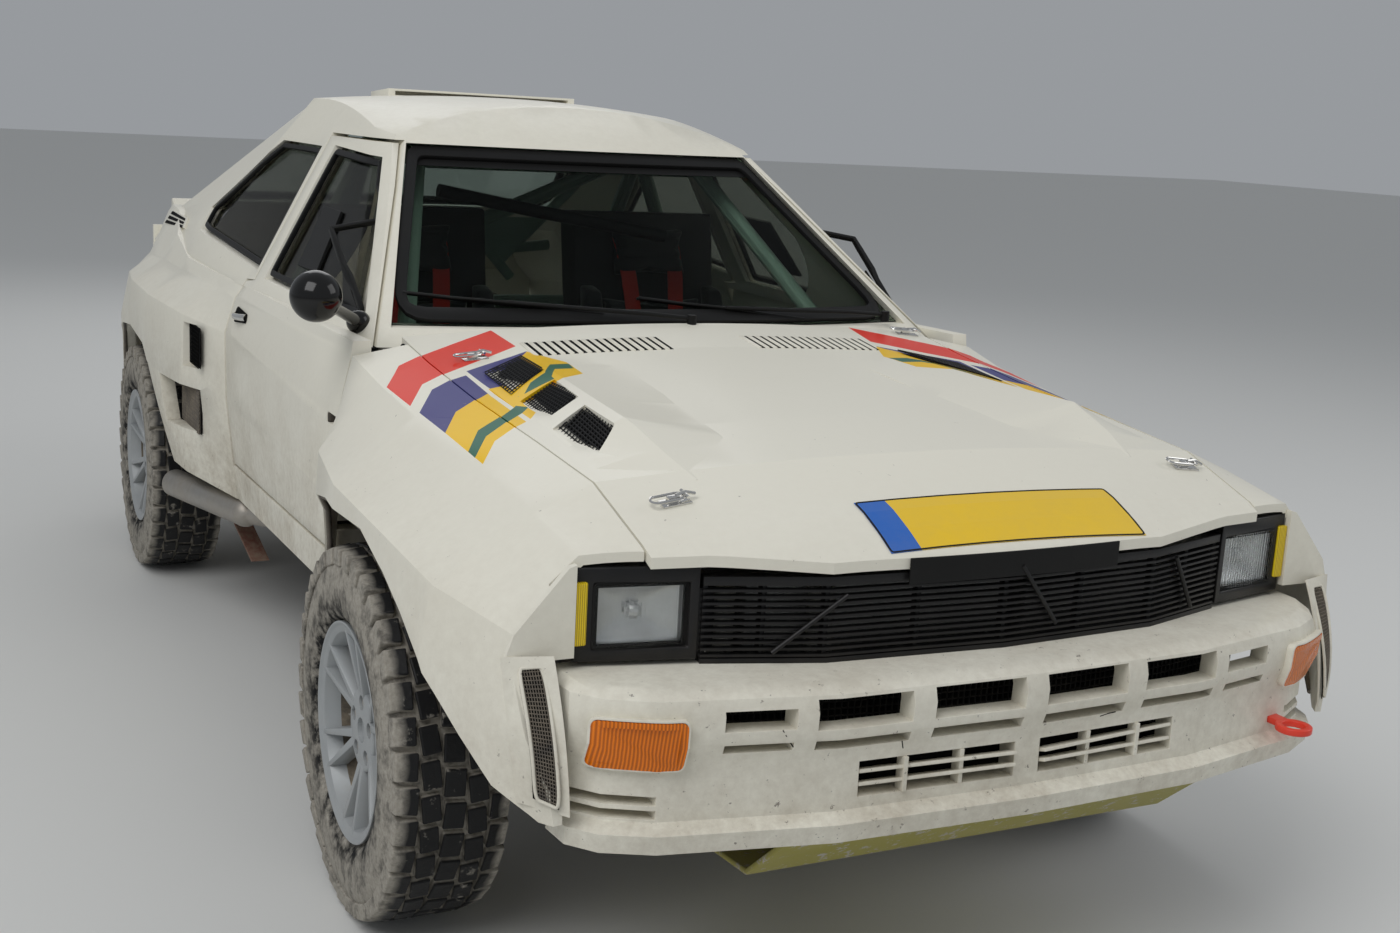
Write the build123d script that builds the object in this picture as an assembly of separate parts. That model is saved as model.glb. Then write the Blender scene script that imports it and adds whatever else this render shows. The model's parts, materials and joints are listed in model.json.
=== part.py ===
from build123d import *
from functools import lru_cache
import math
import os

# Rally coupe with raised suspension, in millimetres.
# +Z is up, the nose faces -Y and the car's left side is +X. The origin is on the ground, at the
# middle of the car's length and width.

# overall sizes
LENGTH = 4404
WHEELBASE = 2524
FRONT_OVERHANG = 895
TRACK = 1584
BELT_Z = 995            # where the greenhouse starts
ROOF_Z = 1520           # crown of the roof
FLOOR_TOP = 450         # cabin floor
FLOOR_T = 30
JACK_PAD = (680, 0, 408)   # middle of the left lifting pad's face
JACK_HALF = 30
DOOR_IN_X = 724         # trim side of the doors
SILL_IN_X = 716         # where the sill skins meet the floor's sill boxes
WING_T = 16
QUARTER_T = 40
SHELL_T = 38            # pillars and roof
LID_T = 18              # bonnet and boot lid
GLASS_T = 5
GAP = 8                 # shut lines round everything that opens
FIT = 0.3               # between faces that seat on each other on different bodies

FRONT_Y = -LENGTH / 2
REAR_Y = LENGTH / 2
AXLE_F = FRONT_Y + FRONT_OVERHANG
AXLE_R = AXLE_F + WHEELBASE

# every y below is written for these places of the nose, the two axles and the tail
TABLE_Y = (-2202, -1307, 1217, 2202)
REAL_Y = (FRONT_Y, AXLE_F, AXLE_R, REAR_Y)
NOSE_Y, FRONT_AXLE, REAR_AXLE, STERN_Y = TABLE_Y

# wheels
TYRE_R = 352            # to the tips of the lugs
TYRE_W = 216
TREAD_R = 338           # carcass between the lugs
LUGS = 18               # in each of the two rows, and the flats of the carcass
LUG_LONG = 50
LUG_X = (7, 100)        # from the tyre's middle
LUG_FOOT_R = 318
RIM_R = 208             # outside of the rim's flange
RIM_W = 196
BEAD_R = 190            # bead seat of the tyre
AXLE_Z = TYRE_R
WHEEL_X = TRACK / 2
KINGPIN_X = 745
SPOKES = 12
ARM_LOW_Z = AXLE_Z - 105
ARM_HIGH_Z = AXLE_Z + 118
ARM_R = 16
BOSS_R = 24
BOSS_HALF = 18          # half height of the arms' end bosses

# doors
DOOR_FRONT = -857
DOOR_REAR = 303
HINGE_X = 792
HINGE_Y = -800
HINGE_PIN_R = 6
HINGE_ZS = (630, 850)
HINGE_ARM = (20, 6)     # height and half width
DOOR_TOP_Z = 1400
FRAME_REAR = 225        # rear edge of the doors' window frames
DOOR_EDGES = [(-900, 763, 1019), (340, 741, 996)]     # y, x and z of the skin's top
DOOR_BOTTOM = [(DOOR_FRONT, 585), (DOOR_REAR, 513)]

# body side: outline from the bonnet's or window's edge down to the sill, one row each station
# y, edge x z, shoulder x z, crease x z, low x z, bottom x z
SIDE = [
    (-2110, 608, 790, 700, 798, 760, 750, 780, 600, 770, 470),
    (-2075, 612, 818, 702, 826, 764, 750, 786, 600, 774, 470),
    (-2030, 616, 844, 712, 846, 800, 750, 816, 600, 806, 470),
    (-1980, 620, 868, 718, 856, 822, 745, 848, 610, 848, 480),
    (-1800, 626, 926, 730, 884, 888, 775, 903, 690, 903, 520),
    (-1560, 632, 945, 740, 908, 902, 800, 905, 740, 905, 500),
    (-1250, 640, 966, 748, 934, 902, 812, 905, 740, 905, 480),
    (-1000, 646, 992, 757, 962, 868, 822, 872, 740, 862, 490),
    (-857, 650, 1012, 766, 990, 797, 850, 803, 690, 812, 500),
    (303, 742, 997, 765, 965, 792, 870, 789, 690, 757, 412),
    (560, 761, 1000, 776, 968, 862, 888, 868, 690, 850, 440),
    (900, 782, 1010, 798, 970, 898, 900, 905, 700, 905, 470),
    (1217, 759, 1050, 800, 972, 898, 908, 905, 760, 905, 480),
    (1480, 708, 1105, 798, 962, 868, 905, 895, 770, 893, 480),
    (1560, 706, 1110, 790, 960, 855, 890, 880, 750, 878, 480),
    (1850, 668, 1098, 748, 925, 815, 855, 842, 720, 838, 500),
    (2105, 640, 1058, 706, 905, 770, 835, 795, 700, 790, 560),
]

# greenhouse outline on the left, front to rear, at the belt and projected to a top
GLASS_HIGH_Z = 1560
HOUSE_LOW = [(705, -795), (735, -640), (745, 300), (788, 1000), (750, 1870)]
HOUSE_LOW_MID = (-865, 1925)        # y of the front's and the rear's middle
HOUSE_HIGH = [(403, 31), (430, 110), (455, 360), (470, 448), (400, 573)]
HOUSE_HIGH_MID = (-26, 605)
# roof crown: y, height in the middle, drop 800 from the middle
ROOF = [(-1000, ROOF_Z - 120, 300), (-500, ROOF_Z - 70, 300), (-90, ROOF_Z - 14, 210), (180, ROOF_Z - 3, 120),
        (450, ROOF_Z, 70), (760, ROOF_Z - 16, 90), (1500, ROOF_Z - 80, 120), (2300, ROOF_Z - 160, 140)]
SCOOP = [(560, -24), (560, 16), (740, 4), (740, -30)]      # y and height over the roof's crown
SCOOP_HALF = 285
SCOOP_MOUTH = (265, 4, 60)                                 # half width, height, depth

# shut lines and window outlines, as y and z
PILLAR_LINE = [(-800, 1024), (-190, DOOR_TOP_Z)]      # front edge of the door's frame
DOOR_WINDOW = [(-700, 1028), (-205, 1366), (157, 1378), (147, 1032)]
REAR_WINDOW_SIDE = [(252, 1043), (260, 1371), (593, 1372), (1040, 1149), (983, 1087)]
SCREEN = [(-652, 1030), (652, 1030), (462, 1402), (-462, 1402)]         # x and z, from ahead
BACKLIGHT = [(-600, 1140), (600, 1140), (430, 1440), (-430, 1440)]      # x and z, from behind

# wheel arches as y from the axle and z: front and rear
ARCH_F = [(395, 380), (392, 620), (370, 690), (310, 735), (165, 762), (-130, 776), (-276, 738),
          (-375, 698), (-470, 650), (-533, 606), (-590, 564), (-645, 528), (-705, 490), (-770, 450),
          (-770, 380)]
ARCH_R = [(-620, 380), (-560, 440), (-480, 530), (-400, 620), (-330, 700), (-230, 745), (0, 768),
          (230, 745), (330, 700), (400, 620), (455, 530), (500, 440), (520, 380)]

# wing: its front edge from above as y and z, and the flange that stands on the inner arch
WING_FRONT = [(-1985, 1000), (-1985, 715), (-2062, 520), (-2070, 430)]
WING_NOSE = [(724, 700), (724, 846), (737, 842), (822, 745), (838, 700)]   # closes the wing beside the lamp
WING_NOSE_Y = (-1985, -1972)
WING_FLANGE_X = (652, 662)
WING_FLANGE_YS = (-1760, -1560, -1250, -1000, -890)

# nose
LAMP_IN = 530
LAMP_OUT = 722
LAMP_Z = (688, 838)
LAMP_REAR_Y = -1930
# plan of the nose at the lamps and grille: x and y from the middle outwards
NOSE = [(0, -2088), (330, -2068), (525, -2012), (LAMP_OUT, -1972)]
BUMPER_PLAN = [(0, -2202), (360, -2190), (640, -2136), (720, -2098), (757, -2052), (762, -1990)]
BUMPER_T = 40
# bumper section: how far the face lies behind the plan, and z
BUMPER_STEPS = [(6, 430), (0, 462), (26, 474), (28, 560), (14, 600), (12, 640), (20, 666), (46, 680)]
# bumper vents: middle x, width, low z, high z
BUMPER_VENTS = [
    (107, 170, 612, 662), (315, 164, 612, 660), (486, 112, 616, 648),
    (107, 170, 578, 596), (315, 164, 578, 594), (486, 108, 580, 594),
    (170, 290, 492, 550), (690, 110, 478, 492), (690, 110, 500, 514),
]
# box vents of the quarter: depth from the widest point, then the corners as y and z
VENTS = [
    (70, [(412, 752), (545, 746), (545, 868), (412, 868)]),
    (80, [(445, 570), (715, 562), (765, 690), (445, 692)]),
]

# bonnet: crown above its edge at each station of the side
BONNET_CROWNS = [(-2110, 36), (-2075, 34), (-1980, 30), (-1800, 26), (-1250, 26), (-857, 25)]
BONNET_REAR_Y = -810
BONNET_RISE = 0.14      # slope behind the doors' front edge
# vent hump on the left: y, outer foot x, ridge x, inner foot x, height of the ridge
HUMP = [(-1831, 458, 454, 450, 1), (-1737, 601, 475, 380, 18), (-1646, 598, 484, 307, 36),
        (-1612, 596, 490, 304, 42), (-1414, 590, 471, 290, 29), (-1117, 592, 443, 276, 10),
        (-1074, 592, 439, 318, 6), (-985, 434, 430, 426, 1)]
HUMP_SINK = 12
# the three openings on each hump: corners in plan
HUMP_VENTS = [
    [(566, -1094), (452, -1031), (458, -1149), (568, -1266)],
    [(570, -1318), (472, -1240), (486, -1396), (576, -1456)],
    [(580, -1508), (498, -1456), (510, -1617), (587, -1703)],
]
HUMP_VENT_DEPTH = 3
PIN_PLACES = [(520, -1862), (548, -1003)]
PIN_R = 12

# tail
BOOT_HALF = 630
DECK_Y = 1660
LID = [(DECK_Y + 12, 1104), (2040, 1074), (2092, 1104), (2108, 1102)]      # lid top: y, z
LID_BOTTOM_Z = 860
LID_HINGE = (1664, 1104)                   # y and z of the pins' axis
LID_PIN = (4.5, 380, 500)                  # radius and ends, from the middle
TAIL_Y = 2080
REAR_PLAN = [(0, 2202), (420, 2190), (680, 2142), (770, 2092), (788, 2060)]
REAR_BUMPER_Z = (500, 690)

# cabin
CAGE_TUBE_R = 21
# cage joints on the left: x, y, z
CAGE = dict(foot=(590, -690, 475), knee=(590, -640, 900), brow=(392, -70, 1358), main_top=(400, 330, 1385),
            main_low=(600, 400, 940), main_foot=(600, 400, 475), back_foot=(430, 1020, 590))
CAGE_LINKS = [("foot", "knee"), ("knee", "brow"), ("brow", "main_top"), ("main_top", "main_low"),
              ("main_low", "main_foot"), ("main_top", "back_foot"), ("foot", "main_low")]
CAGE_CROSS = ["brow", "main_top", "main_low"]
CAGE_PLATE = (40, 45)      # half size of the plates under the cage's feet
PLATE_SINK = 5             # from the middle of a foot's ball down to its plate
SEAT_X = 345
SEAT_Y = -110
SEAT_W = 430
WHEEL_HUB = (SEAT_X, -370, 860)
WHEEL_TILT = 24
MIRROR = (850, -900, 1115)
MIRROR_FOOT = (706, -690, 1034)

# front frame
RAIL_X = (340, 400)
RAIL_Z = (440, 520)
ARCH_PLATE_Z = (786, 800)
BOOT_FLOOR_Z = 560
TOW = (600, -2169.5, 497)
TOW_R = (20, 32)


def real_y(y):
    """Place along the car of a y from the tables, stretched with the wheelbase and overhangs."""
    part = 0 if y < FRONT_AXLE else 1 if y < REAR_AXLE else 2
    share = (y - TABLE_Y[part]) / (TABLE_Y[part + 1] - TABLE_Y[part])
    return REAL_Y[part] + share * (REAL_Y[part + 1] - REAL_Y[part])


def along(points, y):
    """Row of a table between its stations, as a list without the y."""
    for low, high in zip(points, points[1:]):
        if low[0] <= y <= high[0]:
            share = (y - low[0]) / (high[0] - low[0])
            return [a + share * (b - a) for a, b in zip(low[1:], high[1:])]
    raise ValueError(y)


def prism(points, axis, low, high):
    """Polygon drawn in the plane across an axis and extruded along it from low to high."""
    if axis == "x":
        corners = [(low, real_y(a), b) for a, b in points]
    elif axis == "y":
        low, high = real_y(low), real_y(high)
        corners = [(a, low, b) for a, b in points]
    else:
        corners = [(a, real_y(b), low) for a, b in points]
    direction = {"x": (1, 0, 0), "y": (0, 1, 0), "z": (0, 0, 1)}[axis]
    return extrude(make_face(Polyline(*corners, close=True)), amount=high - low, dir=direction)


def block(x0, x1, y0, y1, z0, z1):
    """Box from its six limits."""
    y0, y1 = real_y(y0), real_y(y1)
    return Pos((x0 + x1) / 2, (y0 + y1) / 2, (z0 + z1) / 2) * Box(abs(x1 - x0), y1 - y0, z1 - z0)


def spot(point):
    """Real place of a point from the tables."""
    x, y, z = point
    return Vector(x, real_y(y), z)


def rod(start, end, radius):
    """Round bar between two points."""
    a, b = spot(start), spot(end)
    foot = Plane(origin=a, z_dir=b - a)
    return foot * Cylinder(radius, (b - a).length, align=(Align.CENTER, Align.CENTER, Align.MIN))


def ball(point, radius):
    """Sphere at a point."""
    return Pos(*spot(point)) * Sphere(radius)


def flip(shape):
    """The same piece on the car's other side."""
    return mirror(shape, about=Plane.YZ)


def both(solid):
    """A left-hand piece and its twin, which don't touch."""
    return Compound(children=[solid, flip(solid)])


def mirrored(points):
    """Half plan from the middle outwards made into a whole one, from right to left."""
    return [(-x, y) for x, y in points[:0:-1]] + list(points)


def inset(line, t):
    """Open polyline moved sideways by t, to the left of its direction."""
    out = []
    for i, (x, z) in enumerate(line):
        normals = []
        for j in (i - 1, i):
            if 0 <= j < len(line) - 1:
                dx, dz = line[j + 1][0] - line[j][0], line[j + 1][1] - line[j][1]
                size = math.hypot(dx, dz)
                normals.append((-dz / size, dx / size))
        nx, nz = sum(n[0] for n in normals), sum(n[1] for n in normals)
        size = math.hypot(nx, nz)
        nx, nz = nx / size, nz / size
        reach = t / max(0.5, nx * normals[0][0] + nz * normals[0][1])
        out.append((x + nx * reach, z + nz * reach))
    return out


def side_row(y):
    """Outline of the body side at y."""
    row = along(SIDE, y)
    return list(zip(row[::2], row[1::2]))


def side_wall(y0, y1, t, flat_x=None, ledge=0):
    """Left side wall between two stations, t thick, or out from a flat inner face at flat_x."""
    stations = [y0] + [row[0] for row in SIDE if y0 < row[0] < y1] + [y1]
    faces = []
    for y in stations:
        outer = side_row(y)
        if flat_x:
            outer[0] = tuple(along(DOOR_EDGES, y))
            inner = [(flat_x, outer[-1][1]), (flat_x, outer[0][1])]
        else:
            inner = inset(outer[::-1], t)
            inner[-1] = (outer[0][0] - ledge, outer[0][1] if ledge else inner[-1][1])
        points = [(x, real_y(y), z) for x, z in outer + inner]
        faces.append(make_face(Polyline(*points, close=True)))
    return loft(faces, ruled=True)


def house_outline(share, z, t):
    """Closed outline of the greenhouse at a height, its walls moved inwards by t."""
    corners = [(a[0] + share * (b[0] - a[0]), real_y(a[1] + share * (b[1] - a[1])))
               for a, b in zip(HOUSE_LOW, HOUSE_HIGH)]
    front, rear = [real_y(a + share * (b - a)) for a, b in zip(HOUSE_LOW_MID, HOUSE_HIGH_MID)]
    side_t, front_t, rear_t = 1.16 * t, 1.77 * t, 2.5 * t
    moves = [front_t, front_t, 0, 0, -rear_t]
    right = [(x - side_t, y + move, z) for (x, y), move in zip(corners, moves)]
    left = [(-x, y, z) for x, y, z in right]
    edges = [ThreePointArc(left[0], (0, front + front_t, z), right[0])]
    edges += [Line(a, b) for a, b in zip(right, right[1:])]
    edges.append(ThreePointArc(right[-1], (0, rear - rear_t, z), left[-1]))
    edges += [Line(b, a) for a, b in zip(left, left[1:])][::-1]
    return make_face(Wire(edges))


@lru_cache
def roof_zone(t):
    """Everything under the crowned roof, lowered by t."""
    faces = []
    for y, crown, drop in ROOF:
        y, z = real_y(y), crown - t
        arc = ThreePointArc((-800, y, z - drop), (0, y, z), (800, y, z - drop))
        floor = [Line((800, y, z - drop), (800, y, 200)), Line((800, y, 200), (-800, y, 200)),
                 Line((-800, y, 200), (-800, y, z - drop))]
        faces.append(make_face(Wire([arc] + floor)))
    return loft(faces)


@lru_cache
def house(t, low_z=BELT_Z):
    """Solid greenhouse from low_z up, its walls moved inwards by t, under the crowned roof."""
    low = (low_z - BELT_Z) / (GLASS_HIGH_Z - BELT_Z)
    body = loft([house_outline(low, low_z, t), house_outline(1, GLASS_HIGH_Z, t)], ruled=True)
    return body & roof_zone(t)


def shell(outer_t, inner_t):
    """Skin of the greenhouse between two depths."""
    return house(outer_t) - house(inner_t, BELT_Z - 20)


def shifted(points, dy):
    """The same outline moved along the car."""
    return [(y + dy, z) for y, z in points]


def wing():
    """Left front wing with its flare, cut for the wheel, the lamp housing and the bumper."""
    solid = side_wall(WING_FRONT[-1][0], DOOR_FRONT - GAP, WING_T)
    solid -= prism(shifted(ARCH_F, FRONT_AXLE), "x", 300, 1000)
    solid -= block(500, LAMP_OUT, NOSE_Y, LAMP_REAR_Y, LAMP_Z[0] - 1, LAMP_Z[1] + FIT)
    solid -= prism([(500, NOSE_Y), (762, NOSE_Y), (762, -1966)] + NOSE[:1:-1], "z", LAMP_Z[0] - 1, 1000)
    solid -= prism([(500, NOSE_Y), (764, NOSE_Y), (768, -1950), (500, -1950)], "z", 300, LAMP_Z[0] - 1)
    solid -= prism([(NOSE_Y, 1000)] + WING_FRONT + [(NOSE_Y, WING_FRONT[-1][1])], "x", 700, 1000)
    solid += prism(WING_NOSE, "y", *WING_NOSE_Y)
    top = [(y, along(SIDE, y)[1] - WING_T) for y in WING_FLANGE_YS]
    ends = [(y, ARCH_PLATE_Z[1]) for y in (WING_FLANGE_YS[-1], WING_FLANGE_YS[0])]
    return solid + prism(top + ends, "x", *WING_FLANGE_X)


def door_zone(grow):
    """Space of the left door with its frame, grown by a clearance."""
    reach = real_y(DOOR_REAR) - real_y(HINGE_Y)
    front = DOOR_FRONT - grow
    outline = [(front, 300), (front, PILLAR_LINE[0][1] - 4),
               (PILLAR_LINE[0][0] - grow, PILLAR_LINE[0][1] + grow),
               (PILLAR_LINE[1][0] - grow, DOOR_TOP_Z + grow), (FRAME_REAR + grow, DOOR_TOP_Z + grow),
               (FRAME_REAR + grow, BELT_Z + 25), (DOOR_REAR + 30, BELT_Z + 10 + grow),
               (600, BELT_Z + 10 + grow), (600, 300)]
    zone = prism(outline, "x", 400, 1000)
    zone &= prism([(690 - grow, 300), (704 - grow, BELT_Z), (464 - grow, DOOR_TOP_Z + 20),
                   (1000, DOOR_TOP_Z + 20), (1000, 300)], "y", NOSE_Y, STERN_Y)
    return zone & rod((HINGE_X, HINGE_Y, 0), (HINGE_X, HINGE_Y, 2000), reach + grow)


def door_bottom(low):
    """Everything under the doors' lower edge, moved down by low."""
    edge = [(y + 50 * side, z - low) for side, (y, z) in zip((-1, 1), DOOR_BOTTOM)]
    return prism([(DOOR_FRONT - 50, 0)] + edge + [(DOOR_REAR + 50, 0)], "x", 600, 1000)


def door():
    """Left door with its window frame, notched round the two hinge arms."""
    solid = side_wall(DOOR_FRONT, DOOR_REAR, 0, DOOR_IN_X)
    frame = shell(0, SHELL_T) & block(200, 1000, NOSE_Y, STERN_Y, 900, 1600)
    solid += frame - prism(DOOR_WINDOW, "x", 200, 1000)
    solid = (solid & door_zone(0)) - door_bottom(0)
    for z in HINGE_ZS:
        high = HINGE_ARM[0] / 2 + FIT
        solid -= block(680, HINGE_X + HINGE_PIN_R + FIT, DOOR_FRONT - 8, HINGE_Y + 14, z - high, z + high)
    return solid


def sill():
    """Fixed skin under the left door."""
    return side_wall(DOOR_FRONT - GAP, DOOR_REAR + GAP, 0, SILL_IN_X) & door_bottom(GAP)


def door_glass():
    """Left door window, in the middle of its frame."""
    return shell(SHELL_T / 2, SHELL_T / 2 + GLASS_T) & prism(DOOR_WINDOW, "x", 200, 1000) & door_zone(0)


def quarter():
    """Left rear quarter with its flare and two box vents."""
    solid = side_wall(DOOR_REAR + GAP, SIDE[-1][0], QUARTER_T, ledge=QUARTER_T)
    solid -= block(0, BOOT_HALF + GAP, DECK_Y, STERN_Y, 900, 1200)
    solid -= prism(shifted(ARCH_R, REAR_AXLE), "x", 300, 1000)
    for depth, corners in VENTS:
        solid -= prism(corners, "x", 905 - depth, 1000)
    return solid


def scoop():
    """Low vent scoop on the roof, open ahead."""
    half, high, depth = SCOOP_MOUTH
    start = SCOOP[0][0]
    crown = along(ROOF, start)[0]
    solid = prism([(y, crown + z) for y, z in SCOOP], "x", -SCOOP_HALF, SCOOP_HALF)
    return solid - block(-half, half, start - 1, start + depth, crown + high - 6, crown + high + 6)


def cabin():
    """Roof, pillars and rear corners in one shell, with its windows cut."""
    solid = shell(0, SHELL_T)
    solid -= prism(SCREEN, "y", NOSE_Y, 200)
    solid -= prism(BACKLIGHT, "y", 600, STERN_Y)
    side = prism(REAR_WINDOW_SIDE, "x", 200, 1000)
    solid -= side + flip(side)
    zone = door_zone(GAP)
    solid -= zone + flip(zone)
    solid -= block(-900, 900, DECK_Y, STERN_Y, 900, 1200)
    y, z = LID_HINGE
    for side in (-1, 1):
        solid += rod((side * LID_PIN[1], y, z), (side * LID_PIN[2], y, z), LID_PIN[0])
    return solid + (scoop() - house(SHELL_T / 2))


def fixed_glass(outline, axis, low, high):
    """Pane that fills an opening of the cabin shell."""
    return shell(SHELL_T / 2, SHELL_T / 2 + GLASS_T) & prism(outline, axis, low, high)


def plan_band(half, t, low, high):
    """Upright band that follows a plan, t deep towards the rear."""
    line = mirrored(half)
    return prism(line + inset(line, t)[::-1], "z", low, high)


def front_bumper():
    """Bumper with its vents and spoiler lip."""
    faces = []
    for back, z in BUMPER_STEPS:
        line = mirrored([(x - 0.4 * back * (x > 700), y + back) for x, y in BUMPER_PLAN])
        ring = line + inset(line, BUMPER_T)[::-1]
        faces.append(make_face(Polyline(*[(x, real_y(y), z) for x, y in ring], close=True)))
    solid = loft(faces, ruled=True)
    for x, w, z0, z1 in BUMPER_VENTS:
        for side in (-1, 1):
            solid -= block(side * x - w / 2, side * x + w / 2, NOSE_Y - 10, -1990, z0, z1)
    shelf = mirrored([(0, -2150), (360, -2136), (640, -2084), (735, -2010)])
    shelf += mirrored([(0, -2050), (330, -2030), (525, -1976), (735, -1950)])[::-1]
    solid += prism(shelf, "z", 664, 680)
    for side in (-1, 1):
        solid += block(side * RAIL_X[0], side * RAIL_X[1], -2160, -1940, RAIL_Z[0], 474)
    return solid


def grille():
    """Frame with level bars and upright stays."""
    plan = NOSE[:2] + [(LAMP_IN - 5, -2012)]
    low, high = BUMPER_STEPS[-1][1], LAMP_Z[1] - 18
    solid = plan_band(plan, 24, low, low + 8) + plan_band(plan, 24, high - 14, high)
    bars = 11
    step = (high - low - 14) / (bars + 1)
    for i in range(1, bars + 1):
        solid += plan_band(plan, 14, low + step * i, low + step * i + 4)
    for x, y in mirrored([(0, -2088), (165, -2078), (330, -2068), (428, -2040), (518, -2014)]):
        solid += block(x - 4, x + 4, y + 8, y + 22, low, high)
    for side in (-1, 1):
        solid += block(side * 500, side * LAMP_IN, -2004, -1990, low + 20, high - 20)
    return solid


def lamp_surround():
    """Black housing round the left lamp."""
    (x0, y0), (x1, y1) = NOSE[2], NOSE[3]
    solid = prism([(LAMP_IN, y0), (x1, y1), (x1, LAMP_REAR_Y), (LAMP_IN, LAMP_REAR_Y)], "z", *LAMP_Z)
    mouth = [(LAMP_IN + 14, LAMP_Z[0] + 20), (LAMP_OUT - 30, LAMP_Z[0] + 20),
             (LAMP_OUT - 30, LAMP_Z[1] - 26), (LAMP_IN + 14, LAMP_Z[1] - 26)]
    return solid - prism(mouth, "y", NOSE_Y, LAMP_REAR_Y - 12)


def headlamp():
    """Left lamp glass and reflector as one block in its housing."""
    plan = [(LAMP_IN + 15, -1992), (LAMP_OUT - 31, -1972), (LAMP_OUT - 31, LAMP_REAR_Y - 12),
            (LAMP_IN + 15, LAMP_REAR_Y - 12)]
    return prism(plan, "z", LAMP_Z[0] + 21, LAMP_Z[1] - 27)


def bonnet_edge(y):
    """Half width, edge height and crown of the bonnet at y."""
    shut_y = min(y, DOOR_FRONT)
    x, z = side_row(shut_y)[0]
    return x - GAP / 2, z + BONNET_RISE * (y - shut_y), along(BONNET_CROWNS, shut_y)[0]


def bonnet_z(x, y):
    """Height of the bonnet's surface."""
    half, edge, crown = bonnet_edge(y)
    return edge + crown * (1 - (x / half) ** 2)


def hump():
    """Left vent hump with its three openings."""
    faces = []
    for y, outer, ridge, inner, high in HUMP:
        top = [(outer, bonnet_z(outer, y) - 1), (ridge, bonnet_z(ridge, y) + high),
               (inner, bonnet_z(inner, y) - 1)]
        low = [(inner, bonnet_z(inner, y) - HUMP_SINK), (outer, bonnet_z(outer, y) - HUMP_SINK)]
        faces.append(make_face(Polyline(*[(x, real_y(y), z) for x, z in top + low], close=True)))
    solid = loft(faces, ruled=True)
    for quad in HUMP_VENTS:
        x = sum(p[0] for p in quad) / 4
        y = sum(p[1] for p in quad) / 4
        solid -= prism(quad, "z", bonnet_z(x, y) - HUMP_VENT_DEPTH, 1200)
    return solid


def bonnet():
    """Lift-off bonnet with two vent humps and four posts that seat on the inner arches."""
    faces = []
    for y in [row[0] for row in SIDE if row[0] <= DOOR_FRONT] + [BONNET_REAR_Y]:
        half, edge, crown = bonnet_edge(y)
        place = real_y(y)
        low, mid = edge - LID_T, edge + crown
        top = ThreePointArc((-half, place, edge), (0, place, mid), (half, place, edge))
        under = ThreePointArc((half, place, low), (0, place, mid - LID_T), (-half, place, low))
        ends = [Line((side * half, place, edge), (side * half, place, low)) for side in (1, -1)]
        faces.append(make_face(Wire([top, ends[0], under, ends[1]])))
    solid = loft(faces, ruled=True)
    nose = mirrored([(0, -2092), (330, -2072), (525, -2022), (700, -1992)])
    solid &= prism(nose + [(700, 0), (-700, 0)], "z", 700, 1200)
    solid += hump() + flip(hump())
    solid -= house(-GAP, 900)
    for side in (-1, 1):
        for x, y in PIN_PLACES:
            top = bonnet_z(x, y) - LID_T / 2
            solid += rod((side * x, y, ARCH_PLATE_Z[1] + FIT), (side * x, y, top), PIN_R)
    return solid


def boot_lid():
    """Short boot lid with a lip along its rear edge."""
    (y0, z0), (y1, z1), (y2, z2), (y3, z3) = LID
    profile = [(y0, z0 - LID_T), (y0, z0), (y1, z1), (y2, z2), (y3, z3), (y3 - 2, LID_BOTTOM_Z),
               (y3 - 22, LID_BOTTOM_Z), (y3 - 26, z1 - LID_T)]
    return prism(profile, "x", -BOOT_HALF, BOOT_HALF)


def tail_panel():
    """Panel between the rear lamps, with the ledge that the boot lid shuts on."""
    solid = block(-740, 740, TAIL_Y - 20, TAIL_Y, 520, LID_BOTTOM_Z - FIT)
    solid += block(-BOOT_HALF, BOOT_HALF, TAIL_Y, TAIL_Y + 24, LID_BOTTOM_Z - 14, LID_BOTTOM_Z - FIT)
    for side in (-1, 1):
        solid += block(side * (BOOT_HALF + GAP), side * 700, TAIL_Y - 20, TAIL_Y, 840, 1010)
    return solid


def rear_bumper():
    """Rear bumper, wrapped round the tail."""
    line = mirrored(REAR_PLAN)
    return prism(line + inset(line, -BUMPER_T)[::-1], "z", *REAR_BUMPER_Z)


def tail_lamp():
    """Left rear lamp on the tail panel."""
    return block(400, 640, TAIL_Y, TAIL_Y + 22, 715, 838)


def floor_pan():
    """Cabin floor with sill boxes and tunnel."""
    low = FLOOR_TOP - FLOOR_T
    solid = block(-SILL_IN_X, SILL_IN_X, -862, 860, low, FLOOR_TOP)
    for side in (-1, 1):
        solid += block(side * 640, side * SILL_IN_X, -862, 860, low, 500)
        x, y, z = JACK_PAD
        solid += block(side * x - JACK_HALF, side * x + JACK_HALF, y - JACK_HALF, y + JACK_HALF, z, low)
    solid += prism([(-130, low), (130, low), (100, 600), (-100, 600)], "y", -862, 860)
    return solid - prism([(-112, 300), (112, 300), (84, 582), (-84, 582)], "y", -900, 830)


def front_frame():
    """Front rails with the inner arches on them."""
    left = block(*RAIL_X, -1940, -862, *RAIL_Z) + block(395, 480, -1940, -862, 490, RAIL_Z[1])
    left += block(474, 492, -1940, -862, 490, ARCH_PLATE_Z[1])
    left += block(474, 650, -1900, -890, *ARCH_PLATE_Z) + block(640, 735, -1760, -890, *ARCH_PLATE_Z)
    return left + flip(left)


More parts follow.
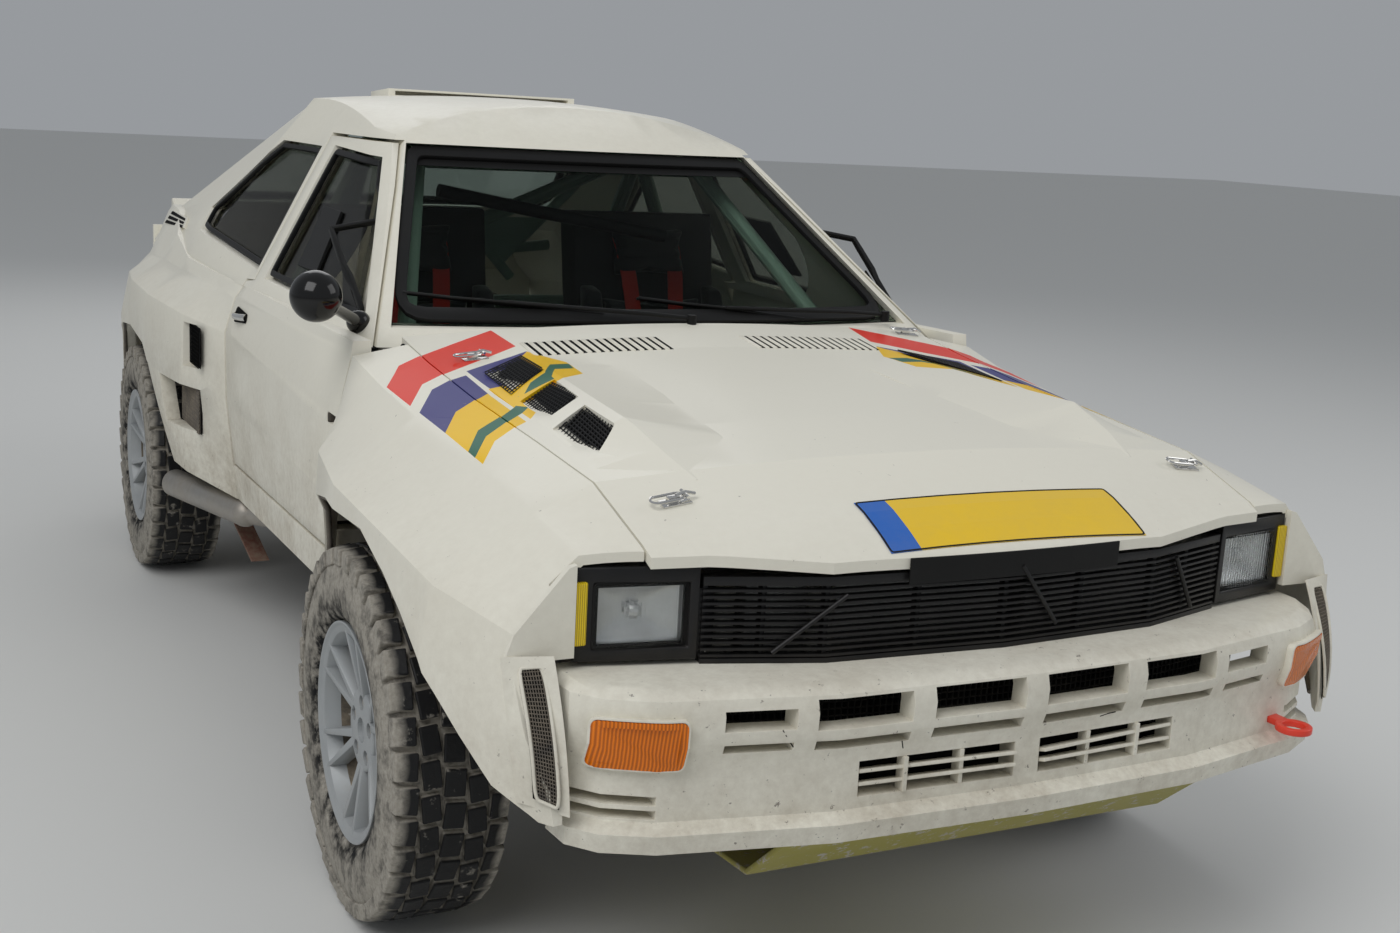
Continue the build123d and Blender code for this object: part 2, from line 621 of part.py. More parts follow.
def rear_frame():
    """Rear rails, boot floor, inner arches and the wall behind the cabin."""
    solid = block(-480, 480, 868, TAIL_Y - 20, 540, BOOT_FLOOR_Z)
    solid += block(-660, 660, 860, 878, FLOOR_TOP - FLOOR_T, 700)
    for side in (-1, 1):
        solid += block(side * RAIL_X[0], side * RAIL_X[1], 870, TAIL_Y - 20, 470, 550)
        solid += block(side * 474, side * 492, 870, 1960, 540, 800)
        solid += block(side * 474, side * 735, 870, 1640, *ARCH_PLATE_Z)
    return solid


def bulkhead():
    """Wall ahead of the cabin, the scuttle and the door posts with their hinge arms."""
    solid = block(-690, 690, -886, -862, 420, 950)
    solid += block(-655, 655, -886, -800, 930, 950)
    for side in (-1, 1):
        solid += block(side * 655, side * 690, -862, -786, 500, BELT_Z)
        for z in HINGE_ZS:
            low, high = z - HINGE_ARM[0] / 2, z + HINGE_ARM[0] / 2
            half, x = HINGE_ARM[1], side * HINGE_X
            solid += block(side * 680, x, HINGE_Y - half, HINGE_Y + half, low, high)
            solid += rod((x, HINGE_Y, low), (x, HINGE_Y, high), HINGE_PIN_R)
    return solid


def frame_bar(points, links, radius):
    """Welded tubes between named points, with a ball at each joint."""
    bars = [rod(points[a], points[b], radius) for a, b in links]
    balls = [ball(p, radius * 1.15) for p in points.values()]
    return bars[0].fuse(*(bars[1:] + balls))


def roll_cage():
    """Cage with two front legs, main hoop, door bars and back stays."""
    left = frame_bar(CAGE, CAGE_LINKS, CAGE_TUBE_R)
    ends = [(CAGE[name], CAGE[name]) for name in CAGE_CROSS] + [(CAGE["main_top"], CAGE["main_low"])]
    solid = left.fuse(flip(left)).fuse(*[rod(a, (-b[0],) + b[1:], CAGE_TUBE_R) for a, b in ends])
    wide, long = CAGE_PLATE
    for side in (-1, 1):
        for name, low in (("foot", FLOOR_TOP), ("main_foot", FLOOR_TOP), ("back_foot", BOOT_FLOOR_Z)):
            x, y, z = CAGE[name]
            solid += block(side * x - wide, side * x + wide, y - long, y + long, low, z - PLATE_SINK)
    return solid


def seat():
    """Left bucket seat on its floor frame."""
    back = prism(shifted([(-150, 520), (180, 500), (330, 1000), (370, 1220), (260, 1225), (230, 1010),
                          (130, 640), (-150, 640)], SEAT_Y), "x", SEAT_X - SEAT_W / 2, SEAT_X + SEAT_W / 2)
    hollow = prism(shifted([(-160, 585), (110, 585), (215, 1010), (240, 1130), (100, 1130), (-160, 760)],
                           SEAT_Y), "x", SEAT_X - 165, SEAT_X + 165)
    rails = block(SEAT_X - 180, SEAT_X - 150, SEAT_Y - 120, SEAT_Y + 160, FLOOR_TOP, 522)
    rails += block(SEAT_X + 150, SEAT_X + 180, SEAT_Y - 120, SEAT_Y + 160, FLOOR_TOP, 522)
    return back - hollow + rails


def dashboard():
    """Dashboard across the cabin."""
    profile = [(-862, 880), (-600, 905), (-520, 870), (-500, 720), (-560, 700), (-862, 760)]
    return prism(profile, "x", -565, 565)


def wheel_axis():
    """Direction of the steering column, from the dashboard to the driver."""
    tilt = math.radians(WHEEL_TILT)
    return (0, math.cos(tilt), math.sin(tilt))


def steering_wheel():
    """Three-spoke steering wheel on a short column."""
    solid = Torus(165, 14) + Cylinder(42, 30)
    for angle in (0, 90, 180):
        solid += Rot(0, 0, angle) * (Pos(90, 0, 0) * Box(160, 26, 8))
    return Plane(origin=spot(WHEEL_HUB), x_dir=(1, 0, 0), z_dir=wheel_axis()) * solid


def column():
    """Steering column from the dashboard to the wheel."""
    x, y, z = WHEEL_HUB
    ax, ay, az = wheel_axis()
    start = (x, y - ay * 170, z - az * 170)
    end = (x, y - ay * (15 + FIT), z - az * (15 + FIT))
    return rod(start, end, 26)


def engine():
    """Engine and gearbox, closed inside, as one block on the front rails."""
    solid = block(-230, 230, -1930, -1420, 470, 800) + block(-170, 170, -1420, -900, 470, 640)
    return solid + block(-RAIL_X[1], RAIL_X[1], -1700, -1640, RAIL_Z[1], 560)


def radiator():
    """Radiator and oil cooler behind the grille."""
    solid = block(-440, 60, -1995, -1945, 500, 800) + block(110, 440, -1995, -1950, 500, 800)
    return solid + block(-440, 440, -1990, -1940, 490, RAIL_Z[1])


def sump_guard():
    """Plate from the nose back under the engine, hung on the front rails."""
    solid = prism([(-2145, 430), (-2030, 330), (-1560, 288), (-1500, 292), (-1500, 282), (-1560, 278),
                   (-2034, 320), (-2145, 418)], "x", -430, 430)
    for side in (-1, 1):
        solid += block(side * 355, side * 385, -1890, -1860, 310, RAIL_Z[0])
    return solid


def tow_hook():
    """Towing ring on the left of the front bumper."""
    x, y, z = TOW
    inner, outer = TOW_R
    ring = Pos(*spot(TOW)) * Cylinder(outer, 12) + block(x - 14, x + 14, y + 25, -2060, z - 6, z + 6)
    return ring - Pos(*spot(TOW)) * Cylinder(inner, 14)


def exhaust():
    """Side pipe ahead of the right rear wheel."""
    bend = (-735, 320, 372)
    tail = rod(bend, (-850, 760, 362), 40) - rod((-745, 358, 371), (-860, 798, 361), 36)
    solid = tail + rod((-250, -300, 372), bend, 30) + ball(bend, 40.5)
    solid += block(-265, -245, -318, -282, 372, FLOOR_TOP - FLOOR_T)
    return solid + block(-655, -635, 185, 215, 372, FLOOR_TOP - FLOOR_T)


def suspension_side(axle_y):
    """Left lower and upper arms, spring unit and drive shaft at one axle."""
    low, high = (KINGPIN_X, axle_y, ARM_LOW_Z), (KINGPIN_X, axle_y, ARM_HIGH_Z)
    solid = rod((150, axle_y - 150, 300), low, ARM_R) + rod((150, axle_y + 150, 300), low, ARM_R)
    solid += rod((440, axle_y, ARM_HIGH_Z), high, 13)
    for x, y, z in (low, high):
        solid += rod((x, y, z - BOSS_HALF), (x, y, z + BOSS_HALF), BOSS_R)
    solid += rod((585, axle_y, ARM_LOW_Z + 20), (560, axle_y, 770), 24)
    solid += rod((576, axle_y, 450), (560, axle_y, ARCH_PLATE_Z[0]), 44)
    solid += rod((100, axle_y, AXLE_Z - 10), (KINGPIN_X - 62, axle_y, AXLE_Z), 15)
    return solid + block(420, 473, axle_y - 60, axle_y + 60, 385, 500)


def suspension(axle_y):
    """Both sides of an axle's arms and spring units on a cross member."""
    left = suspension_side(axle_y)
    cross = block(-470, 470, axle_y - 50, axle_y + 50, 385, 430)
    cross += block(-170, 170, axle_y - 170, axle_y + 170, 290, 395)
    return left + flip(left) + cross


def knuckle(axle_y):
    """Left upright between the arms' bosses, up to the wheel's bearing face."""
    solid = rod((KINGPIN_X - 30, axle_y, AXLE_Z), (KINGPIN_X + 16, axle_y, AXLE_Z), 52)
    ends = BOSS_HALF + FIT
    low, high = ARM_LOW_Z + ends, ARM_HIGH_Z - ends
    return solid + rod((KINGPIN_X, axle_y, low), (KINGPIN_X, axle_y, high), BOSS_R - 10)


def turned(profile, axle_y):
    """Ring or disc about a wheel's axle from a profile of x and radius."""
    y = real_y(axle_y)
    face = make_face(Polyline(*[(x, y, AXLE_Z + r) for x, r in profile], close=True))
    return revolve(face, axis=Axis((0, y, AXLE_Z), (1, 0, 0)))


def rim(axle_y):
    """Left wheel rim with twelve slim spokes, its hub and brake disc."""
    x_out = WHEEL_X + RIM_W / 2
    x_in = WHEEL_X - RIM_W / 2
    seat_r = BEAD_R - FIT
    profile = [(x_in, BEAD_R - 6), (x_in, RIM_R), (x_in + 9, RIM_R), (x_in + 12, seat_r), (x_in + 45, seat_r),
               (x_in + 60, BEAD_R - 14), (x_out - 60, BEAD_R - 14), (x_out - 45, seat_r),
               (x_out - 12, seat_r), (x_out - 9, RIM_R), (x_out, RIM_R), (x_out, BEAD_R - 6),
               (x_out - 40, BEAD_R - 10), (x_out - 60, BEAD_R - 24), (x_in + 55, BEAD_R - 24)]
    disc = turned([(x_out - 62, 0), (x_out - 62, 60), (x_out - 30, 170), (x_out - 34, BEAD_R - 8),
                   (x_out - 18, BEAD_R - 8), (x_out - 12, 170), (x_out - 38, 62), (x_out - 30, 0)], axle_y)
    slot = Pos(0, 0, 118) * Box(300, 26, 84)
    for i in range(SPOKES):
        disc -= Pos(WHEEL_X, real_y(axle_y), AXLE_Z) * (Rot(360 / SPOKES * (i + 0.5), 0, 0) * slot)
    hub = rod((KINGPIN_X + 16 + FIT, axle_y, AXLE_Z), (x_out - 50, axle_y, AXLE_Z), 42)
    brake = rod((KINGPIN_X + 24, axle_y, AXLE_Z), (KINGPIN_X + 46, axle_y, AXLE_Z), 140)
    return turned(profile, axle_y) + disc + hub + brake


def lug(row, i):
    """One lug of a row, 0 or 1, which is half a pitch further round than the other."""
    side = 2 * row - 1
    solid = Box(LUG_X[1] - LUG_X[0], LUG_LONG, TYRE_R - LUG_FOOT_R)
    solid = Pos(side * sum(LUG_X) / 2, 0, -(TYRE_R + LUG_FOOT_R) / 2) * solid
    return Rot((i + row / 2) * 360 / LUGS, 0, 0) * solid


@lru_cache
def tyre_form():
    """Tyre about the X axis: a carcass of flats and its rows of lugs in one solid."""
    half = TYRE_W / 2
    side = [(RIM_W / 2 - 13, RIM_R), (half - 8, RIM_R + 8), (half, 270), (half - 10, LUG_FOOT_R),
            (half - 22, TREAD_R)]
    sections = [(-x, r) for x, r in side] + side[::-1]
    rings = []
    for x, r in sections:
        place = Plane(origin=(x, 0, 0), x_dir=(0, 0, -1), z_dir=(1, 0, 0))
        rings.append(place * RegularPolygon(r, LUGS, major_radius=False, rotation=180 / LUGS))
    solid = loft(rings, ruled=True)
    hole = Plane(origin=(-half, 0, 0), x_dir=(0, 0, -1), z_dir=(1, 0, 0)) * RegularPolygon(
        BEAD_R, LUGS, major_radius=False, rotation=180 / LUGS)
    solid -= extrude(hole, amount=TYRE_W)
    return solid.fuse(*[lug(row, i) for row in (0, 1) for i in range(LUGS)])


def tyre(axle_y):
    """Left tyre on its axle."""
    return Pos(WHEEL_X, real_y(axle_y), AXLE_Z) * tyre_form()


def door_mirror():
    """Mirror, drawn on the left, with a round head on a stalk from the window's front corner."""
    x, y, z = MIRROR
    head = ball(MIRROR, 52) & block(x - 80, x + 80, y - 80, y + 40, z - 80, z + 80)
    foot = ball(MIRROR_FOOT, 26)
    return head + rod(MIRROR, MIRROR_FOOT, 12) + foot


def pieces():
    """Every piece by its node's name."""
    out = {}
    pairs = dict(wing=wing(), door=door(), door_glass=door_glass(), quarter=quarter(), seat=seat(),
                 sill=sill(), knuckle=knuckle(FRONT_AXLE))
    for name, solid in pairs.items():
        out[name + "_left"] = solid
        out[name + "_right"] = flip(solid)
    for place, axle_y in (("front", FRONT_AXLE), ("rear", REAR_AXLE)):
        for name, solid in (("rim", rim(axle_y)), ("tyre", tyre(axle_y))):
            out[name + "_" + place + "_left"] = solid
            out[name + "_" + place + "_right"] = flip(solid)
        out[place + "_suspension"] = suspension(axle_y)
    for make in (bonnet, boot_lid, front_bumper, rear_bumper, grille, tail_panel, floor_pan, front_frame,
                 rear_frame, bulkhead, roll_cage, steering_wheel, engine, radiator, sump_guard, tow_hook,
                 exhaust):
        out[make.__name__] = make()
    out["mirror_right"] = flip(door_mirror() - house(0))
    out["cabin_shell"] = cabin() - out["quarter_left"] - out["quarter_right"]
    out["windscreen"] = fixed_glass(SCREEN, "y", NOSE_Y, 200)
    out["rear_window"] = fixed_glass(BACKLIGHT, "y", 600, STERN_Y)
    out["side_windows"] = both(fixed_glass(REAR_WINDOW_SIDE, "x", 200, 1000))
    out["lamp_surrounds"] = both(lamp_surround())
    out["headlamps"] = both(headlamp())
    out["tail_lamps"] = both(tail_lamp())
    out["dashboard"] = dashboard() + column()
    out["rear_hubs"] = both(knuckle(REAR_AXLE))
    # where two pieces of one body meet, the second named gives way
    for kept, cut in (("rear_bumper", "tail_panel"), ("rear_bumper", "quarter"), ("tail_panel", "quarter"),
                      ("floor_pan", "bulkhead"), ("tow_hook", "front_bumper"), ("front_frame", "bulkhead"),
                      ("front_frame", "front_suspension"), ("rear_frame", "rear_suspension"),
                      ("floor_pan", "rear_frame")):
        for name in [n for n in out if n == cut or n[:len(cut) + 1] == cut + "_"]:
            out[name] -= out[kept]
    return out


os.makedirs("parts", exist_ok=True)
for name, solid in pieces().items():
    solid.label = name
    export_step(solid, "parts/" + name + ".step")
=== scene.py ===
import json
import math

import bpy
from mathutils import Matrix, Vector
from mathutils.bvhtree import BVHTree


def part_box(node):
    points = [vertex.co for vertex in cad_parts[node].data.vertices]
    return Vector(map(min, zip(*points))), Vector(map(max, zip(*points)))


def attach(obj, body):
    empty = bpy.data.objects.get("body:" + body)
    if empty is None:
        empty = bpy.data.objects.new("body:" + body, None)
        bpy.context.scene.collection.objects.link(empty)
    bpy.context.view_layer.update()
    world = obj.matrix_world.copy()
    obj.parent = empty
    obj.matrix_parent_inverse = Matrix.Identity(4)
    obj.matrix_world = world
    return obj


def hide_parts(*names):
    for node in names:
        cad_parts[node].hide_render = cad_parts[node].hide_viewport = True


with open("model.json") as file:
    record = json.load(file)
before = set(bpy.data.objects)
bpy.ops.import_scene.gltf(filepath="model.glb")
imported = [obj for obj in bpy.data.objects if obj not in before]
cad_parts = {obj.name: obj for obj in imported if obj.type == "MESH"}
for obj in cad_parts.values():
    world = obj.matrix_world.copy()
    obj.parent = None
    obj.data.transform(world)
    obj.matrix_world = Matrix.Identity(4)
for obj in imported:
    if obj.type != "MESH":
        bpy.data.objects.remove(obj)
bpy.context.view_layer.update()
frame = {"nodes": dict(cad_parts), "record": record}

# sizes are in metres; the nose faces -Y and the car's left is +X
nodes = frame["nodes"]
bothSides = (("Left", 1), ("Right", -1))
beyond = 3.0  # outside the car on every side, where rays start and sheets are laid out
mirrorX = Matrix.Scale(-1, 4, (1, 0, 0))
print("frame loaded:", len(nodes), "nodes")


# selecting and shaping

def pick(obj):
    if bpy.context.mode != "OBJECT":
        bpy.ops.object.mode_set(mode="OBJECT")
    bpy.ops.object.select_all(action="DESELECT")
    obj.select_set(True)
    bpy.context.view_layer.objects.active = obj


def applyAll(obj):
    pick(obj)
    for modifier in list(obj.modifiers):
        bpy.ops.object.modifier_apply(modifier=modifier.name)
    return obj


def settle(obj, name=None):
    # puts the object's place into its mesh
    pick(obj)
    bpy.ops.object.transform_apply(location=True, rotation=True, scale=True)
    if name:
        obj.name = name
    return obj


def added(operator, **settings):
    # a new primitive, with nothing else chosen
    bpy.ops.object.select_all(action="DESELECT")
    operator(**settings)
    return bpy.context.object


def newBox(low, high):
    middle = [(a + b) / 2 for a, b in zip(low, high)]
    obj = added(bpy.ops.mesh.primitive_cube_add, size=1, location=middle)
    obj.scale = [abs(b - a) for a, b in zip(low, high)]
    return settle(obj)


def modified(obj, kind, **settings):
    # adds a modifier and applies it
    modifier = obj.modifiers.new(kind.lower(), kind)
    for key, value in settings.items():
        setattr(modifier, key, value)
    return applyAll(obj)


def bevelled(obj, width, segments=2, angle=30):
    return modified(obj, "BEVEL", width=width, segments=segments, limit_method="ANGLE",
                    angle_limit=math.radians(angle))


def smooth(obj, angle=35):
    pick(obj)
    bpy.ops.object.shade_smooth_by_angle(angle=math.radians(angle))
    return obj


def thick(obj, depth, offset=0):
    # a wall on both sides of the sheet, or on one side with an offset of 1 or -1
    return modified(obj, "SOLIDIFY", thickness=depth, offset=offset)


def wires(obj, width):
    return modified(obj, "WIREFRAME", thickness=width)


def cut(obj, cutter):
    # takes a closed form out of another
    modified(obj, "BOOLEAN", object=cutter, operation="DIFFERENCE", solver="EXACT")
    bpy.data.objects.remove(cutter)
    return obj


def openEdit(obj):
    # edit mode with the whole mesh chosen
    pick(obj)
    bpy.ops.object.mode_set(mode="EDIT")
    bpy.ops.mesh.select_all(action="SELECT")


def leaveEdit():
    bpy.ops.object.mode_set(mode="OBJECT")


def outward(obj):
    openEdit(obj)
    bpy.ops.mesh.remove_doubles(threshold=0.00002)
    bpy.ops.mesh.normals_make_consistent(inside=False)
    leaveEdit()
    return obj


def extruded(sheet, move):
    # closed form from a flat face
    openEdit(sheet)
    bpy.ops.mesh.extrude_region_move(TRANSFORM_OT_translate={"value": move})
    leaveEdit()
    return outward(sheet)


def joined(parts):
    pick(parts[0])
    for part in parts[1:]:
        part.select_set(True)
    if len(parts) > 1:
        bpy.ops.object.join()
    return bpy.context.view_layer.objects.active


def placed(obj, matrix):
    # a copy of a settled piece, with its own mesh, moved by a matrix
    twin = obj.copy()
    twin.data = obj.data.copy()
    bpy.context.scene.collection.objects.link(twin)
    twin.data.transform(matrix)
    if matrix.determinant() < 0:
        twin.data.flip_normals()
    return twin


def finished(obj, name, body, slotName, *materials):
    obj.name = name
    indices = [face.material_index for face in obj.data.polygons]
    obj.data.materials.clear()
    for material in materials:
        obj.data.materials.append(material)
    if len(materials) > 1:
        obj.data.polygons.foreach_set("material_index", indices)
    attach(obj, body)
    return obj


def mirroredPair(parts):
    # pieces made for the left side, and their twins on the right; what they were made from goes
    made = {}
    for side, sign in bothSides:
        for obj, label, slotName, finish in parts:
            piece = placed(obj, Matrix.Identity(4) if sign > 0 else mirrorX)
            made[label + side] = finished(piece, label + side, "chassis", slotName, finish)
    for obj, *_ in parts:
        bpy.data.objects.remove(obj)
    return made


def rounded(corners, radius, step=0.03, arcSteps=5):
    # outline through the corners, in order, with round corners and points along the long runs
    points = []
    count = len(corners)
    for i, corner in enumerate(corners):
        here = Vector(corner)
        before = Vector(corners[i - 1]) - here
        after = Vector(corners[(i + 1) % count]) - here
        turn = before.angle(after)
        reach = min(radius / math.tan(turn / 2), before.length * 0.45, after.length * 0.45)
        start = here + before.normalized() * reach
        end = here + after.normalized() * reach
        for k in range(arcSteps + 1):
            t = k / arcSteps
            points.append(start * (1 - t) ** 2 + here * 2 * t * (1 - t) + end * t ** 2)
    out = []
    for a, b in zip(points, points[1:] + points[:1]):
        pieces = max(1, int((b - a).length / step))
        out += [a.lerp(b, k / pieces) for k in range(pieces)]
    return out


def roundedBox(xs, zs, radius, grow=0.0, step=0.02):
    # outline of a rectangle with round corners, grown on all sides
    (x0, x1), (z0, z1) = xs, zs
    return rounded([(x0 - grow, z0 - grow), (x1 + grow, z0 - grow), (x1 + grow, z1 + grow),
                    (x0 - grow, z1 + grow)], radius, step)


def plate(outline, toWorld):
    # flat face over an outline, each of whose points toWorld puts in space
    obj = added(bpy.ops.mesh.primitive_circle_add, vertices=len(outline), radius=1, fill_type="NGON")
    for vertex, point in zip(obj.data.vertices, outline):
        vertex.co = toWorld(*point)
    return obj


def ringed(obj, width, keepMiddle=False):
    # leaves a rim of the plate, or only cuts it off from the middle
    openEdit(obj)
    bpy.ops.mesh.select_mode(type="FACE")
    bpy.ops.mesh.inset(thickness=width, depth=0)
    if not keepMiddle:
        bpy.ops.mesh.delete(type="FACE")
    leaveEdit()
    return obj


surfaces = {}


def cast(node, start, direction, lift=0.0):
    # first point of a CAD node along a ray, moved back by lift, and its normal
    if node not in surfaces:
        mesh = nodes[node].data
        faces = [tuple(face.vertices) for face in mesh.polygons]
        surfaces[node] = BVHTree.FromPolygons([v.co for v in mesh.vertices], faces)
    ray = Vector(direction).normalized()
    place, normal, _, _ = surfaces[node].ray_cast(Vector(start), ray)
    if place is None:
        return None, None
    return place - ray * lift, normal


def draped(obj, targetName, direction, lift):
    # each vertex moved along a direction onto a node, then back by lift; where the node ends, the
    # depth of the nearest vertex that met it is kept
    direction = Vector(direction).normalized()
    met, missed = [], []
    for vertex in obj.data.vertices:
        place, _ = cast(targetName, vertex.co - direction * 2, direction, lift)
        if place is None:
            missed.append(vertex)
        else:
            vertex.co = place
            met.append(place.copy())
    for vertex in missed:
        flat = vertex.co - direction * vertex.co.dot(direction)
        nearest = min(met, key=lambda p: (p - direction * p.dot(direction) - flat).length)
        vertex.co = flat + direction * nearest.dot(direction)
    return obj


def gridPlate(low, high, cuts, toWorld):
    # flat grid between two corners, with its counts of cells both ways
    obj = added(bpy.ops.mesh.primitive_grid_add, x_subdivisions=cuts[0], y_subdivisions=cuts[1], size=1)
    for vertex in obj.data.vertices:
        u, v = vertex.co.x + 0.5, vertex.co.y + 0.5
        vertex.co = toWorld(low[0] + u * (high[0] - low[0]), low[1] + v * (high[1] - low[1]))
    return obj


def onQuad(corners, side=1, back=0.0, bow=0.0):
    # maker of points from shares along a quad and up it, pushed ahead in the middle by the bow
    low0, low1, high1, high0 = [Vector(c) for c in corners]

    def spot(u, v):
        point = low0.lerp(low1, u).lerp(high0.lerp(high1, u), v)
        return Vector((side * point.x, point.y + back - 4 * bow * v * (1 - v), point.z))

    return spot


def tube(points, radius, closed=False, sides=2):
    # round bar along points
    curve = bpy.data.curves.new("tube", "CURVE")
    curve.dimensions = "3D"
    spline = curve.splines.new("POLY")
    spline.points.add(len(points) - 1)
    for target, point in zip(spline.points, points):
        target.co = (*point, 1)
    spline.use_cyclic_u = closed
    curve.bevel_depth = radius
    curve.bevel_resolution = sides
    curve.use_fill_caps = True
    obj = bpy.data.objects.new("tube", curve)
    bpy.context.scene.collection.objects.link(obj)
    pick(obj)
    bpy.ops.object.convert(target="MESH")
    return smooth(outward(bpy.context.object), 60)


def merged(node, width=0.002, angle=32, segments=2):
    # copy of a CAD node with its triangles joined, its flats made whole and its edges rounded
    source = nodes[node]
    obj = source.copy()
    obj.data = source.data.copy()
    for key in list(obj.keys()):
        if key.startswith("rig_"):
            del obj[key]
    obj.parent = None
    obj.matrix_world = Matrix.Identity(4)
    bpy.context.scene.collection.objects.link(obj)
    openEdit(obj)
    bpy.ops.mesh.remove_doubles(threshold=0.00001)
    bpy.ops.mesh.dissolve_limited(angle_limit=math.radians(0.6))
    leaveEdit()
    if width:
        bevelled(obj, width, segments, angle)
    return smooth(obj, angle + 4)


# node groups: masks and heights that several finishes share

def addNode(tree, kind, **settings):
    node = tree.nodes.new(kind)
    for key, value in settings.items():
        setattr(node, key, value)
    return node


def feed(tree, socket, value):
    if isinstance(value, bpy.types.NodeSocket):
        tree.links.new(value, socket)
    else:
        socket.default_value = value


def sums(tree, operation, a, b=0.0, clamp=False):
    node = addNode(tree, "ShaderNodeMath", operation=operation, use_clamp=clamp)
    feed(tree, node.inputs[0], a)
    feed(tree, node.inputs[1], b)
    return node.outputs[0]


def noise(tree, place, scale, detail=3.0, rough=0.55):
    node = addNode(tree, "ShaderNodeTexNoise")
    tree.links.new(place, node.inputs["Vector"])
    feed(tree, node.inputs["Scale"], scale)
    node.inputs["Detail"].default_value = detail
    node.inputs["Roughness"].default_value = rough
    return node.outputs["Fac"]


def spread(tree, value, low, high):
    # a value between low and high as 0 to 1
    node = addNode(tree, "ShaderNodeMapRange")
    feed(tree, node.inputs["Value"], value)
    feed(tree, node.inputs["From Min"], low)
    feed(tree, node.inputs["From Max"], high)
    return node.outputs["Result"]


def objectPlace(tree):
    return addNode(tree, "ShaderNodeTexCoord").outputs["Object"]


def parted(tree, vector):
    # the X, Y and Z of a vector
    node = addNode(tree, "ShaderNodeSeparateXYZ")
    tree.links.new(vector, node.inputs[0])
    return node.outputs


def newGroup(name, inputs, outputs):
    tree = bpy.data.node_groups.new(name, "ShaderNodeTree")
    for label, value in inputs.items():
        socket = tree.interface.new_socket(name=label, in_out="INPUT", socket_type="NodeSocketFloat")
        socket.default_value = value
    for label in outputs:
        tree.interface.new_socket(name=label, in_out="OUTPUT", socket_type="NodeSocketFloat")
    return tree, addNode(tree, "NodeGroupInput").outputs, addNode(tree, "NodeGroupOutput").inputs


def makeDustGroup():
    # dust that gathers low down and on faces that look up
    tree, given, out = newGroup(
        "dustLayer", dict(Amount=0.5, LowZ=0.3, HighZ=0.9, Top=0.15, Scale=6.0), ["Mask"])
    place = objectPlace(tree)
    facing = parted(tree, addNode(tree, "ShaderNodeNewGeometry").outputs["Normal"])
    low = spread(tree, parted(tree, place)["Z"], given["HighZ"], given["LowZ"])
    top = sums(tree, "MULTIPLY", sums(tree, "MAXIMUM", facing["Z"], 0.0), given["Top"])
    cloud = noise(tree, place, given["Scale"], 6.0, 0.62)
    speck = noise(tree, place, 55.0, 4.0, 0.7)
    grain = sums(tree, "ADD", sums(tree, "MULTIPLY", cloud, 0.7), sums(tree, "MULTIPLY", speck, 0.5))
    body = sums(tree, "MULTIPLY", sums(tree, "ADD", low, top), spread(tree, grain, 0.42, 0.78))
    feed(tree, out["Mask"], sums(tree, "MULTIPLY", body, given["Amount"], True))
    return tree


def makeChipGroup():
    # small chips and scratches, more of them low down
    tree, given, out = newGroup("chipSpots", dict(Scale=60.0, Limit=0.7, LowZ=0.4, HighZ=1.4), ["Mask"])
    place = objectPlace(tree)
    spot = noise(tree, place, given["Scale"], 5.0, 0.75)
    patch = noise(tree, place, 5.0, 2.0)
    lift = sums(tree, "MULTIPLY", spread(tree, parted(tree, place)["Z"], given["HighZ"], given["LowZ"]), 0.06)
    level = sums(tree, "ADD", sums(tree, "ADD", spot, lift), sums(tree, "MULTIPLY", patch, 0.1))
    edge = sums(tree, "SUBTRACT", level, given["Limit"])
    feed(tree, out["Mask"], sums(tree, "MULTIPLY", edge, 30.0, True))
    return tree


def makeGrainGroup():
    # fine height and a slow change of value
    tree, given, out = newGroup("fineGrain", dict(Scale=180.0, Slow=4.0), ["Height", "Value"])
    place = objectPlace(tree)
    feed(tree, out["Height"], noise(tree, place, given["Scale"], 3.0))
    feed(tree, out["Value"], noise(tree, place, given["Slow"], 4.0))
    return tree


bandsFrom = 0.86  # lowest height of the colour bands
